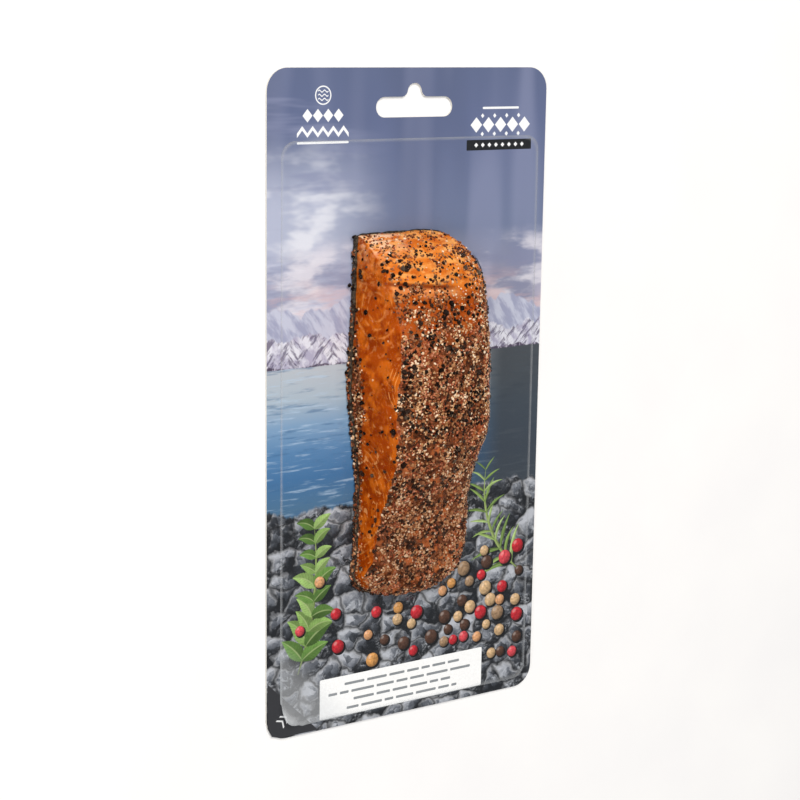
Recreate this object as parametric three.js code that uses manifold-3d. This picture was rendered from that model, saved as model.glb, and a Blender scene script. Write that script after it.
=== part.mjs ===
// A pack of smoked salmon: a printed board card with a hang hole, one peppered salmon portion
// lying on it skin down, and a clear film drawn tight over the fish and sealed to the card.
//
// Millimetres, +Z up. The pack lies on its back. X runs across the card, Y runs towards the
// hang hole, and the origin is the middle of the card's underside.

import * as THREE from "three";
import { mergeVertices } from "three/addons/utils/BufferGeometryUtils.js";
import Module from "manifold-3d";

const wasm = await Module();
wasm.setup();

// ---- Driving dimensions ----

// Card
const CARD_WIDTH = 120;
const CARD_LENGTH = 240;
const CARD_CORNER = 8;
const BOARD = 0.75;

// Hang hole: a slot with a round bump in its upper edge, where the peg sits
const HOLE_CENTRE = 0.6; // right of the card's middle
const SLOT_LENGTH = 32.8;
const SLOT_WIDTH = 7.2;
const SLOT_BELOW_EDGE = 10.2;
const BUMP_BELOW_EDGE = 5.4;
const BUMP_RADIUS = 3;
const BUMP_FILLET = 2.6;

// Film
const FILM = 0.25;
const FILM_INSET_TOP = 24.8;
const FILM_INSET_LEFT = 5.6;
const FILM_INSET_RIGHT = 3.2;
const FILM_INSET_BOTTOM = 3.5;
const FILM_CORNER = 5.5;
const FILM_CLEAR = 1.7; // from bare flesh to film, room for the pepper
const FILM_FOOT = 3; // how far the film bridges out where it comes down to the card

// Peel corner, at the lower left: the film isn't sealed there and stands up a little
const PEEL_LEG = 21.8; // along each edge of the card
const PEEL_LIFT = 3.6;
const PEEL_RUN = 7;

// Fish
const SKIN = 1;
const SKIN_PROUD = 1; // how far the skin shows beyond the flesh
const CUT_LEAN = 0.17; // the left side is a knife cut that leans in by this much per mm
const ROUND_LEAN = 0.08;
const CROWN_RATIO = 1.045; // height of the middle, as a share of the ridge over the cut side
const SHOULDER_RATIO = 0.8; // height near the right side, likewise
const SHOULDER_RADIUS = 9;
const HALF_WIDTH = 24; // of the fish, between its two sides
const DOME_REACH = 0.45; // share of the width at which the crown is at its height
const FALL_SPAN = [0.4, 1.05]; // shares of the width between which it falls to the shoulder
const EDGE_RATIO = 0.5; // what is left of the height where the shoulder meets the side

// Outline of the fish on the card, clockwise from the upper left corner
const UPPER_EDGE = [[-24.2, 62.2], [-8, 63.1], [8, 63]];
const ROUND_SIDE = [
  [13.4, 61.6], [19.5, 56.4], [23.7, 48.4], [24.6, 37], [24.7, 21], [25.9, 5], [26.6, -9],
  [23.3, -21], [22.1, -31], [22.9, -44], [22.9, -56], [19.9, -65.6], [10, -71.7], [-3, -73],
  [-13.6, -71.7], [-21.8, -68.2],
];
const CUT_SIDE = [
  [-25, -62.6], [-24.1, -56], [-23.6, -42], [-23.3, -28], [-25.4, -9], [-27, 6],
  [-26.8, 18], [-25.8, 36], [-25.4, 50], [-24.9, 60.8],
];

// Height of the ridge above the card, from the thin end to the thick end: [along, height]
const RIDGE = [
  [-72, 6.5], [-64, 8.5], [-54, 10.4], [-42, 12.8], [-28, 17.6], [-18, 21.8], [-8, 23.8],
  [6, 25.4], [17, 26.9], [27, 26], [38, 23], [45, 21], [52, 16.6], [58, 10.6], [62.5, 3],
];

// Relief of the flesh
const CREASE_START = [-21, 46.2];
const CREASE_END = [6, 43.6];
const CREASE_DEPTH = 1;
const CREASE_HALF_WIDTH = 1.5;
const CREASE_FADE_IN = [-0.1, 0.25]; // shares of the way along it
const CREASE_FADE_OUT = [0.7, 1.15];
const CRUST_RELIEF = 0.32;
const CRUST_WAVE = 7; // mm from crest to crest
const FLAKE_DEPTH = 0.34;
const FLAKE_SPACING = 8;
const FLAKE_MIDDLE = 11; // height at which the flakes' arches turn over
const FLAKE_ARCH = 0.05;
const FLAKE_REST = 0.6; // share of the wave that lies inside the plain side

// Crushed pepper: the largest grains, fused to the flesh
const GRAIN_SEED = 11;
const GRAIN_RADIUS_MIN = 0.8;
const GRAIN_RADIUS_MAX = 1.3;
const GRAIN_FLATNESS = 0.72;
const GRAIN_SINK = 0.4; // share of its height by which a grain's middle lies under the surface
const CRUST_SPACING = 4.15;
const BARE_SPACING = 8.4;
const CRUST_LIMIT = 41; // beyond this the pepper is thin
const TOP_GRAIN_SPAN = [[-26, 27], [-72, 61]]; // where grains on the upper side are tried
const TOP_GRAIN_TRIES = 9000;
const GRAIN_EDGE_GAPS = { cut: 0.3, round: 3, ends: 2.5 }; // from a grain to the fish's edges
const SIDE_GRAINS = 14;
const SIDE_GRAIN_REACH = 58; // no side grains nearer to the ends than this along Y
const SIDE_GRAIN_RISE = [0.12, 0.34]; // shares of the ridge's height
const GRAIN_FLOOR = 2.4; // no pepper lower than this over the skin

// Mesh steps
const FLESH_STEP = 3.4;
const ROUND_STEP = 5.2;
const FILM_STEP = 6.8;
const FLESH_SPAN = [[-30, 31], [-76, 66]];
const FLESH_RINGS = [0, 0.14, 0.28, 0.42, 0.56, 0.7, 0.84, 0.98, 1.12]; // shares of the ridge
const FILM_RINGS = [0, 0.2, 0.5, 1, 1.25];
const OUTLINE_COUNT = 800;
const ABOVE_ALL = 45;
const BELOW_ALL = -2;

// ---- Curves and chance ----

const { clamp, lerp, smoothstep } = THREE.MathUtils;

function slopeAt(pairs, k) {
  const before = pairs[Math.max(k - 1, 0)];
  const after = pairs[Math.min(k + 1, pairs.length - 1)];
  return (after[1] - before[1]) / (after[0] - before[0]);
}

// The value at a place on the smooth curve through [place, value] pairs, places rising.
function readCurve(pairs, place) {
  const at = clamp(place, pairs[0][0], pairs[pairs.length - 1][0]);
  let k = 0;
  while (k < pairs.length - 2 && at > pairs[k + 1][0]) {
    k += 1;
  }
  const [start, low] = pairs[k];
  const [end, high] = pairs[k + 1];
  const run = end - start;
  const t = (at - start) / run;
  const blend = t * t * (3 - 2 * t);
  const startSlope = slopeAt(pairs, k) * run * t * (1 - t) * (1 - t);
  const endSlope = slopeAt(pairs, k + 1) * run * t * t * (1 - t);
  return lerp(low, high, blend) + startSlope - endSlope;
}

// Numbers from 0 to 1 that come out the same each time.
function seededRandom(seed) {
  let state = seed;
  return () => {
    state = (state + 0x6d2b79f5) | 0;
    let mixed = Math.imul(state ^ (state >>> 15), 1 | state);
    mixed = (mixed + Math.imul(mixed ^ (mixed >>> 7), 61 | mixed)) ^ mixed;
    return ((mixed ^ (mixed >>> 14)) >>> 0) / 4294967296;
  };
}

function stepsBetween(low, high, step) {
  const count = Math.ceil((high - low) / step);
  return Array.from({ length: count + 1 }, (_, k) => lerp(low, high, k / count));
}

// ---- Solids ----

function toManifold(geometry) {
  const bare = new THREE.BufferGeometry();
  bare.setAttribute("position", geometry.getAttribute("position").clone());
  if (geometry.index) {
    bare.setIndex(geometry.index.clone());
  }
  const merged = mergeVertices(bare, 1e-5);
  return new wasm.Manifold(new wasm.Mesh({
    numProp: 3,
    vertProperties: new Float32Array(merged.getAttribute("position").array),
    triVerts: new Uint32Array(merged.index.array),
  }));
}

function toGeometry(manifold) {
  const { vertProperties, triVerts } = manifold.getMesh();
  const geometry = new THREE.BufferGeometry();
  geometry.setAttribute("position", new THREE.BufferAttribute(new Float32Array(vertProperties), 3));
  geometry.setIndex(new THREE.BufferAttribute(new Uint32Array(triVerts), 1));
  geometry.computeVertexNormals();
  return geometry;
}

function indexedGeometry(positions, indices) {
  const geometry = new THREE.BufferGeometry();
  geometry.setAttribute("position", new THREE.Float32BufferAttribute(positions, 3));
  geometry.setIndex(indices);
  return geometry;
}

// A closed solid through rings of points, lowest ring first, each ring clockwise from above.
function loftRings(rings) {
  const count = rings[0].length;
  const positions = rings.flat().flatMap((point) => [point.x, point.y, point.z]);
  const indices = [];
  for (let level = 0; level < rings.length - 1; level += 1) {
    for (let k = 0; k < count; k += 1) {
      const a = level * count + k;
      const b = level * count + ((k + 1) % count);
      indices.push(a, a + count, b + count, a, b + count, b);
    }
  }
  for (const [level, turn] of [[0, false], [rings.length - 1, true]]) {
    const middle = positions.length / 3;
    positions.push(0, 0, rings[level][0].z);
    for (let k = 0; k < count; k += 1) {
      const a = level * count + k;
      const b = level * count + ((k + 1) % count);
      indices.push(middle, turn ? b : a, turn ? a : b);
    }
  }
  return toManifold(indexedGeometry(positions, indices));
}

// A closed solid under a height over a grid of columns and rows, down to a flat floor.
function hillSolid(columns, rows, height, floor) {
  const wide = columns.length;
  const long = rows.length;
  const sheet = wide * long;
  const positions = [];
  const indices = [];
  for (const heightAt of [height, () => floor]) {
    rows.forEach((y) => columns.forEach((x) => positions.push(x, y, heightAt(x, y))));
  }
  for (let j = 0; j < long - 1; j += 1) {
    for (let i = 0; i < wide - 1; i += 1) {
      const a = j * wide + i;
      const b = a + 1;
      const c = b + wide;
      const d = a + wide;
      indices.push(a, b, c, a, c, d);
      indices.push(sheet + a, sheet + c, sheet + b, sheet + a, sheet + d, sheet + c);
    }
  }
  const acrossSteps = Array.from({ length: wide - 1 }, (_, i) => i);
  const alongSteps = Array.from({ length: long - 1 }, (_, j) => j);
  const rim = [
    ...acrossSteps,
    ...alongSteps.map((j) => j * wide + wide - 1),
    ...acrossSteps.map((i) => sheet - 1 - i),
    ...alongSteps.map((j) => (long - 1 - j) * wide),
  ];
  rim.forEach((a, k) => {
    const b = rim[(k + 1) % rim.length];
    indices.push(a, sheet + a, sheet + b, a, sheet + b, b);
  });
  return toManifold(indexedGeometry(positions, indices));
}

// Cutting by the knife and the shoulder can leave a crumb beside the main body.
function largestBody(manifold) {
  return manifold.decompose().reduce((best, body) => (body.volume() > best.volume() ? body : best));
}

function extrudeFlat(shape, low, high) {
  const geometry = new THREE.ExtrudeGeometry(shape, {
    depth: high - low, bevelEnabled: false, curveSegments: 6,
  });
  geometry.translate(0, 0, low);
  return geometry;
}

function roundedRectangle(left, bottom, right, top, corner) {
  const quarter = Math.PI / 2;
  const shape = new THREE.Shape();
  shape.absarc(right - corner, top - corner, corner, 0, quarter);
  shape.absarc(left + corner, top - corner, corner, quarter, 2 * quarter);
  shape.absarc(left + corner, bottom + corner, corner, 2 * quarter, 3 * quarter);
  shape.absarc(right - corner, bottom + corner, corner, 3 * quarter, 4 * quarter);
  return shape;
}

// ---- Card ----

function hangHole() {
  const right = HOLE_CENTRE + SLOT_LENGTH / 2 - SLOT_WIDTH / 2;
  const left = HOLE_CENTRE - SLOT_LENGTH / 2 + SLOT_WIDTH / 2;
  const slotTop = CARD_LENGTH / 2 - SLOT_BELOW_EDGE;
  const middle = slotTop - SLOT_WIDTH / 2;
  const bumpMiddle = CARD_LENGTH / 2 - BUMP_BELOW_EDGE - BUMP_RADIUS;
  const filletMiddle = slotTop + BUMP_FILLET;
  const rise = filletMiddle - bumpMiddle;
  const reach = Math.sqrt((BUMP_RADIUS + BUMP_FILLET) ** 2 - rise ** 2);
  const meet = Math.atan2(rise, reach);
  const down = -Math.PI / 2;
  const hole = new THREE.Path();
  hole.absarc(right, middle, SLOT_WIDTH / 2, down, -down);
  hole.absarc(HOLE_CENTRE + reach, filletMiddle, BUMP_FILLET, down, meet - Math.PI, true);
  hole.absarc(HOLE_CENTRE, bumpMiddle, BUMP_RADIUS, meet, Math.PI - meet);
  hole.absarc(HOLE_CENTRE - reach, filletMiddle, BUMP_FILLET, -meet, down, true);
  hole.absarc(left, middle, SLOT_WIDTH / 2, -down, -3 * down);
  return hole;
}

function cardGeometry() {
  const shape = roundedRectangle(
    -CARD_WIDTH / 2, -CARD_LENGTH / 2, CARD_WIDTH / 2, CARD_LENGTH / 2, CARD_CORNER,
  );
  shape.holes.push(hangHole());
  return extrudeFlat(shape, 0, BOARD);
}

// ---- Fish ----

const outlinePoints = [...UPPER_EDGE, ...ROUND_SIDE, ...CUT_SIDE];
const outlineCurve = new THREE.CatmullRomCurve3(
  outlinePoints.map(([x, y]) => new THREE.Vector3(x, y, 0)), true, "centripetal",
);
const fineOutline = outlineCurve.getSpacedPoints(OUTLINE_COUNT).slice(0, OUTLINE_COUNT);
const fineStep = outlineCurve.getLength() / OUTLINE_COUNT;

const roundStart = new THREE.Vector3(...UPPER_EDGE[2], 0);
const roundEnd = new THREE.Vector3(...CUT_SIDE[0], 0);
const nearestIndex = (target) => fineOutline.reduce(
  (best, point, k) => (point.distanceTo(target) < fineOutline[best].distanceTo(target) ? k : best), 0,
);
const roundedStretch = fineOutline.slice(nearestIndex(roundStart), nearestIndex(roundEnd) + 1);

// Places round the fish about one step apart, each with its outward direction.
function outlinePlaces(cutStep, roundStep) {
  const places = [];
  let walked = Infinity;
  fineOutline.forEach((point, k) => {
    const next = fineOutline[(k + 1) % OUTLINE_COUNT];
    const last = fineOutline[(k + OUTLINE_COUNT - 1) % OUTLINE_COUNT];
    const out = new THREE.Vector3(last.y - next.y, next.x - last.x, 0).normalize();
    const onCut = smoothstep(-out.x, 0.4, 0.9);
    if (walked >= lerp(roundStep, cutStep, onCut)) {
      places.push({ point, out, onCut });
      walked = 0;
    }
    walked += fineStep;
  });
  return places;
}

function roundedDistance(x, y) {
  return roundedStretch.reduce((least, p) => Math.min(least, Math.hypot(p.x - x, p.y - y)), Infinity);
}

function insideOutline(x, y) {
  let inside = false;
  fineOutline.forEach((a, k) => {
    const b = fineOutline[(k + 1) % OUTLINE_COUNT];
    if (a.y > y !== b.y > y && x < a.x + ((y - a.y) * (b.x - a.x)) / (b.y - a.y)) {
      inside = !inside;
    }
  });
  return inside;
}

// The nearest place to (x, y) that lies on the fish.
function onFish(x, y) {
  if (insideOutline(x, y)) {
    return [x, y];
  }
  const target = new THREE.Vector3(x, y, 0);
  const nearest = fineOutline[nearestIndex(target)];
  return [nearest.x, nearest.y];
}

// Height of the smooth upper surface above the card.
function smoothTop(x, y) {
  const across = clamp((x + HALF_WIDTH) / (2 * HALF_WIDTH), 0, 1);
  const dome = lerp(1, CROWN_RATIO, smoothstep(across, 0, DOME_REACH));
  const fall = lerp(1, SHOULDER_RATIO / CROWN_RATIO, smoothstep(across, ...FALL_SPAN));
  const inward = clamp(roundedDistance(x, y) / SHOULDER_RADIUS, 0, 1);
  const shoulder = lerp(EDGE_RATIO, 1, Math.sqrt(1 - (1 - inward) ** 2));
  return readCurve(RIDGE, y) * dome * fall * shoulder;
}

function creaseDip(x, y) {
  const along = (x - CREASE_START[0]) / (CREASE_END[0] - CREASE_START[0]);
  const line = lerp(CREASE_START[1], CREASE_END[1], along);
  const fade = smoothstep(along, ...CREASE_FADE_IN) * (1 - smoothstep(along, ...CREASE_FADE_OUT));
  return CREASE_DEPTH * fade * Math.exp(-(((y - line) / CREASE_HALF_WIDTH) ** 2));
}

// Low bumps of two waves that cross and bend each other, so that they make no rows.
function crustWave(x, y) {
  const turn = (2 * Math.PI) / CRUST_WAVE;
  const across = Math.sin(x * turn + 1.4 * Math.sin(y * turn * 0.6));
  const along = Math.sin(y * turn * 0.9 + x * 0.5);
  return (CRUST_RELIEF * (across + along)) / 2;
}

// How far the cut side stands out at a height: flakes part along arches.
function flakeWave(y, height) {
  const phase = (y + FLAKE_ARCH * (height - FLAKE_MIDDLE) ** 2) / FLAKE_SPACING;
  return FLAKE_DEPTH * (Math.abs(Math.sin(Math.PI * phase)) - FLAKE_REST);
}

// A place on the walls of the fish, grown outwards by grow, and by foot more at the bottom.
function wallPlace({ point, out, onCut }, height, { grow, foot = 0, flaky = false }) {
  const bridge = foot * (1 - clamp(height / readCurve(RIDGE, point.y), 0, 1)) ** 2;
  const flakes = flaky ? onCut * flakeWave(point.y, height) : 0;
  const reach = grow + bridge + flakes - lerp(ROUND_LEAN, CUT_LEAN, onCut) * height;
  return new THREE.Vector3(point.x + out.x * reach, point.y + out.y * reach, BOARD + height);
}

// The walls, as a solid that runs up past the fish. Its rings lie at shares of the way from
// the height start to the ridge.
function fishWalls(places, shares, start, floor, form) {
  const rings = shares.map((share) => places.map(
    (place) => wallPlace(place, lerp(start, readCurve(RIDGE, place.point.y), share), form),
  ));
  const foot = rings[0].map((point) => point.clone().setZ(floor));
  const rim = rings[rings.length - 1].map((point) => point.clone().setZ(ABOVE_ALL));
  return loftRings([foot, ...rings.slice(1), rim]);
}

// ---- Flesh ----

function fleshTop(x, y) {
  return BOARD + smoothTop(x, y) - creaseDip(x, y) + crustWave(x, y);
}

function bareFlesh() {
  const [columns, rows] = FLESH_SPAN.map(([low, high]) => stepsBetween(low, high, FLESH_STEP));
  const under = hillSolid(columns, rows, fleshTop, BELOW_ALL);
  const walls = fishWalls(
    outlinePlaces(FLESH_STEP, ROUND_STEP),
    FLESH_RINGS,
    SKIN,
    BOARD + SKIN,
    { grow: -SKIN_PROUD, flaky: true },
  );
  return under.intersect(walls);
}

function grainAt(place, facing, radius, random) {
  const geometry = new THREE.IcosahedronGeometry(radius, 0);
  geometry.scale(1, lerp(0.75, 1, random()), GRAIN_FLATNESS);
  geometry.rotateZ(2 * Math.PI * random());
  const turn = new THREE.Quaternion().setFromUnitVectors(new THREE.Vector3(0, 0, 1), facing);
  geometry.applyQuaternion(turn);
  const centre = place.clone().addScaledVector(facing, -GRAIN_SINK * GRAIN_FLATNESS * radius);
  geometry.translate(centre.x, centre.y, centre.z);
  return toManifold(geometry);
}

function facingOfTop(x, y) {
  const reach = 0.8;
  const acrossSlope = (fleshTop(x + reach, y) - fleshTop(x - reach, y)) / (2 * reach);
  const alongSlope = (fleshTop(x, y + reach) - fleshTop(x, y - reach)) / (2 * reach);
  return new THREE.Vector3(-acrossSlope, -alongSlope, 1).normalize();
}

// Pepper on the upper side: tries places by chance and keeps those far enough from the rest.
function topGrains(random) {
  const kept = [];
  const grains = [];
  for (let attempt = 0; attempt < TOP_GRAIN_TRIES; attempt += 1) {
    const [x, y] = TOP_GRAIN_SPAN.map(([low, high]) => lerp(low, high, random()));
    const spacing = y < CRUST_LIMIT ? CRUST_SPACING : BARE_SPACING;
    const { cut, round, ends } = GRAIN_EDGE_GAPS;
    const cutReach = SKIN_PROUD + CUT_LEAN * readCurve(RIDGE, y) + cut;
    const free = kept.every((other) => Math.hypot(other.x - x, other.y - y) > spacing);
    const clearOfEdge = [[-cutReach, 0], [0, ends], [round, 0], [0, -ends]].every(
      ([besideX, besideY]) => insideOutline(x + besideX, y + besideY),
    );
    if (free && clearOfEdge && fleshTop(x, y) > BOARD + SKIN + GRAIN_FLOOR) {
      kept.push({ x, y });
      const radius = lerp(GRAIN_RADIUS_MIN, GRAIN_RADIUS_MAX, random());
      const place = new THREE.Vector3(x, y, fleshTop(x, y));
      grains.push(grainAt(place, facingOfTop(x, y), radius, random));
    }
  }
  return grains;
}

// A few grains that stick to the lower part of the cut side.
function sideGrains(random) {
  const cutPlaces = outlinePlaces(FLESH_STEP, ROUND_STEP).filter(
    ({ onCut, point }) => onCut > 0.98 && Math.abs(point.y) < SIDE_GRAIN_REACH,
  );
  return Array.from({ length: SIDE_GRAINS }, (_, k) => {
    const share = (k + 0.2 + 0.6 * random()) / SIDE_GRAINS;
    const { point, out } = cutPlaces[Math.floor(share * cutPlaces.length)];
    const rise = lerp(...SIDE_GRAIN_RISE, random()) * readCurve(RIDGE, point.y);
    const height = rise + SKIN + GRAIN_RADIUS_MAX;
    const facing = new THREE.Vector3(out.x, out.y, CUT_LEAN).normalize();
    const place = wallPlace({ point, out, onCut: 1 }, height, { grow: -SKIN_PROUD, flaky: true });
    return grainAt(place, facing, lerp(GRAIN_RADIUS_MIN, GRAIN_RADIUS_MAX, random()), random);
  });
}

function fleshGeometry() {
  const random = seededRandom(GRAIN_SEED);
  const grains = [...topGrains(random), ...sideGrains(random)];
  return toGeometry(largestBody(wasm.Manifold.union([bareFlesh(), ...grains])));
}

// ---- Skin ----

function skinGeometry() {
  const places = outlinePlaces(ROUND_STEP, ROUND_STEP);
  const ringAt = (z) => places.map(({ point }) => new THREE.Vector3(point.x, point.y, z));
  return toGeometry(loftRings([ringAt(BOARD), ringAt(BOARD + SKIN)]));
}

// ---- Film ----

// Columns and rows over the fish, half a step apart where the film turns down.
const filmColumns = [...stepsBetween(-34, 9, FILM_STEP), ...stepsBetween(13, 31, FILM_STEP / 2)];
const filmRows = [
  ...stepsBetween(-78, -60, FILM_STEP / 2),
  ...stepsBetween(-54, 36, FILM_STEP),
  ...stepsBetween(40, 68, FILM_STEP / 2),
];

// The space under a sheet that lies this clear of the fish, down to a floor.
function drapedOver(clear, floor) {
  const height = (x, y) => {
    const [nearX, nearY] = onFish(x, y);
    return BOARD + clear + smoothTop(nearX, nearY) - Math.hypot(nearX - x, nearY - y);
  };
  const under = hillSolid(filmColumns, filmRows, height, BELOW_ALL);
  const places = outlinePlaces(FILM_STEP, FILM_STEP);
  const form = { grow: clear, foot: FILM_FOOT };
  const walls = fishWalls(places, FILM_RINGS, 0, floor, form);
  return under.intersect(walls);
}

// The film beyond the fold line of its peel corner, which curls up.
function peelFlap(outline) {
  const lower = [];
  const upper = [];
  for (const run of [-1, ...stepsBetween(0, PEEL_RUN - 1, 1.2), PEEL_RUN + 2]) {
    const rise = PEEL_LIFT * (Math.max(run, 0) / PEEL_RUN) ** 2;
    lower.push(new THREE.Vector2(run, BOARD + rise));
    upper.push(new THREE.Vector2(run, BOARD + rise + FILM));
  }
  const profile = new THREE.Shape([...lower, ...upper.reverse()]);
  const length = 2 * PEEL_LEG;
  const geometry = new THREE.ExtrudeGeometry(profile, { depth: length, bevelEnabled: false });
  geometry.translate(0, 0, -length / 2);
  geometry.rotateX(Math.PI / 2);
  geometry.rotateZ(1.25 * Math.PI);
  const foldX = -CARD_WIDTH / 2 + PEEL_LEG / 2;
  const foldY = -CARD_LENGTH / 2 + PEEL_LEG / 2;
  geometry.translate(foldX, foldY, 0);
  return toManifold(geometry).intersect(toManifold(extrudeFlat(outline, BELOW_ALL, ABOVE_ALL)));
}

// Where the film isn't sealed: a wedge past the card's corner, up to the fold line.
function peelCut() {
  const corner = [-CARD_WIDTH / 2, -CARD_LENGTH / 2];
  const shape = new THREE.Shape([
    new THREE.Vector2(corner[0] - PEEL_LEG, corner[1] - PEEL_LEG),
    new THREE.Vector2(corner[0] + 2 * PEEL_LEG, corner[1] - PEEL_LEG),
    new THREE.Vector2(corner[0] - PEEL_LEG, corner[1] + 2 * PEEL_LEG),
  ]);
  return toManifold(extrudeFlat(shape, BELOW_ALL, ABOVE_ALL));
}

function filmGeometry() {
  const outline = roundedRectangle(
    -CARD_WIDTH / 2 + FILM_INSET_LEFT,
    -CARD_LENGTH / 2 + FILM_INSET_BOTTOM,
    CARD_WIDTH / 2 - FILM_INSET_RIGHT,
    CARD_LENGTH / 2 - FILM_INSET_TOP,
    FILM_CORNER,
  );
  const sealed = toManifold(extrudeFlat(outline, BOARD, BOARD + FILM)).subtract(peelCut());
  const outside = drapedOver(FILM_CLEAR + FILM, BOARD);
  const inside = drapedOver(FILM_CLEAR, BELOW_ALL);
  return toGeometry(sealed.add(peelFlap(outline)).add(outside).subtract(inside));
}

// ---- Pack ----

function piece(name, geometry, color, roughness, extra = {}) {
  const material = new THREE.MeshStandardMaterial({ color, roughness, metalness: 0, ...extra });
  const mesh = new THREE.Mesh(geometry, material);
  mesh.name = name;
  return mesh;
}

const group = new THREE.Group();
group.add(piece("card", cardGeometry(), 0x6f7a93, 0.55));
group.add(piece("salmon_skin", skinGeometry(), 0x3a3028, 0.5));
group.add(piece("salmon_flesh", fleshGeometry(), 0xc9601c, 0.45));
group.add(piece("film", filmGeometry(), 0xe8eef2, 0.12, { transparent: true, opacity: 0.2 }));

export default group;
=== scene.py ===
import math

import bmesh
import bpy
import numpy as np
from mathutils import Matrix, Vector, noise


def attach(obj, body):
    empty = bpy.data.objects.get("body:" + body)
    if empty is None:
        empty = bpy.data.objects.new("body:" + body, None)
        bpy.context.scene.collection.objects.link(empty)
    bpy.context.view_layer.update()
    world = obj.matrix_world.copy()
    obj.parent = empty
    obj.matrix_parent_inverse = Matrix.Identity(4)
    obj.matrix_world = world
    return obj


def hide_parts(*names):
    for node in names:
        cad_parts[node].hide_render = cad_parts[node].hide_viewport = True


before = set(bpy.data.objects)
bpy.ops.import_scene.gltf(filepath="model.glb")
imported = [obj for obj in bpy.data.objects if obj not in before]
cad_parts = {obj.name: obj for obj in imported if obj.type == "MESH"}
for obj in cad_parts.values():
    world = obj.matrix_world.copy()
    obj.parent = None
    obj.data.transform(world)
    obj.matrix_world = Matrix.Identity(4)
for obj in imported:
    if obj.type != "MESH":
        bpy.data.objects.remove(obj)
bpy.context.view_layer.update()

# A pack of smoked salmon: a printed board card, one peppered salmon portion lying skin down on
# it, and a clear film drawn over the fish and sealed to the card.
#
# Measures are in millimetres up to the point where a mesh is written. +Z is up, X runs across
# the card and Y runs towards the hang hole.

MM = 0.001

# ---- The solids' own measures ----

CARD_WIDTH = 120.0
CARD_LENGTH = 240.0
BOARD = 0.75
FILM = 0.25
FILM_LEFT = -54.4
FILM_RIGHT = 56.8
FILM_BOTTOM = -116.5
FILM_TOP = 95.2
FILM_CORNER = 5.5
FILM_CLEAR = 1.7
FILM_EASE = 0.05  # keeps the smooth film under its faceted solid
FILM_FOOT = 3.0
PEEL_LEG = 21.8
PEEL_LIFT = 3.6
PEEL_RUN = 7.0
SKIN = 1.0
SKIN_PROUD = 1.0
CUT_LEAN = 0.17
ROUND_LEAN = 0.08
CROWN_RATIO = 1.045
SHOULDER_RATIO = 0.8
SHOULDER_RADIUS = 9.0
HALF_WIDTH = 24.0
DOME_REACH = 0.45
FALL_SPAN = (0.4, 1.05)
EDGE_RATIO = 0.5
UPPER_EDGE = [(-24.2, 62.2), (-8, 63.1), (8, 63)]
ROUND_SIDE = [
    (13.4, 61.6), (19.5, 56.4), (23.7, 48.4), (24.6, 37), (24.7, 21), (25.9, 5), (26.6, -9),
    (23.3, -21), (22.1, -31), (22.9, -44), (22.9, -56), (19.9, -65.6), (10, -71.7), (-3, -73),
    (-13.6, -71.7), (-21.8, -68.2),
]
CUT_SIDE = [
    (-25, -62.6), (-24.1, -56), (-23.6, -42), (-23.3, -28), (-25.4, -9), (-27, 6),
    (-26.8, 18), (-25.8, 36), (-25.4, 50), (-24.9, 60.8),
]
RIDGE = [
    (-72, 6.5), (-64, 8.5), (-54, 10.4), (-42, 12.8), (-28, 17.6), (-18, 21.8), (-8, 23.8),
    (6, 25.4), (17, 26.9), (27, 26), (38, 23), (45, 21), (52, 16.6), (58, 10.6), (62.5, 3),
]
CREASE_START = (-21.0, 46.2)
CREASE_END = (6.0, 43.6)
CREASE_DEPTH = 1.0
CREASE_HALF_WIDTH = 1.5
CREASE_FADE_IN = (-0.1, 0.25)
CREASE_FADE_OUT = (0.7, 1.15)
CRUST_RELIEF = 0.32
CRUST_WAVE = 7.0
CRUST_START = 28.0
FOOT_MIDDLE = 3.0  # along Y, where the soiled foot of the knife cut is highest
BIT_PROUD = 0.5
BIT_ROUGHNESS = 0.5
CUT_ROUND = 7.0
CUT_DROP = 0.7
THICK_END_DROP = 2.4
FLAKE_DEPTH = 0.34
FLAKE_SPACING = 8.0
FLAKE_MIDDLE = 11.0
FLAKE_ARCH = 0.05
FLAKE_REST = 0.6

# ---- Curves ----


def smoothstep(value, low, high):
    share = np.clip((value - low) / (high - low), 0.0, 1.0)
    return share * share * (3.0 - 2.0 * share)


def lerp(low, high, share):
    return low + (high - low) * share


def read_curve(pairs, place):
    """The values at places on the smooth curve through (place, value) pairs, places rising."""
    knots = np.array(pairs, float)
    at = np.clip(place, knots[0, 0], knots[-1, 0])
    k = np.searchsorted(knots[1:-1, 0], at, side="left")
    before = knots[np.maximum(np.arange(len(knots)) - 1, 0)]
    after = knots[np.minimum(np.arange(len(knots)) + 1, len(knots) - 1)]
    slope = (after[:, 1] - before[:, 1]) / (after[:, 0] - before[:, 0])
    run = knots[k + 1, 0] - knots[k, 0]
    t = (at - knots[k, 0]) / run
    blend = t * t * (3.0 - 2.0 * t)
    rise = slope[k] * run * t * (1.0 - t) ** 2
    fall = slope[k + 1] * run * t * t * (1.0 - t)
    return lerp(knots[k, 1], knots[k + 1, 1], blend) + rise - fall


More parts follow.
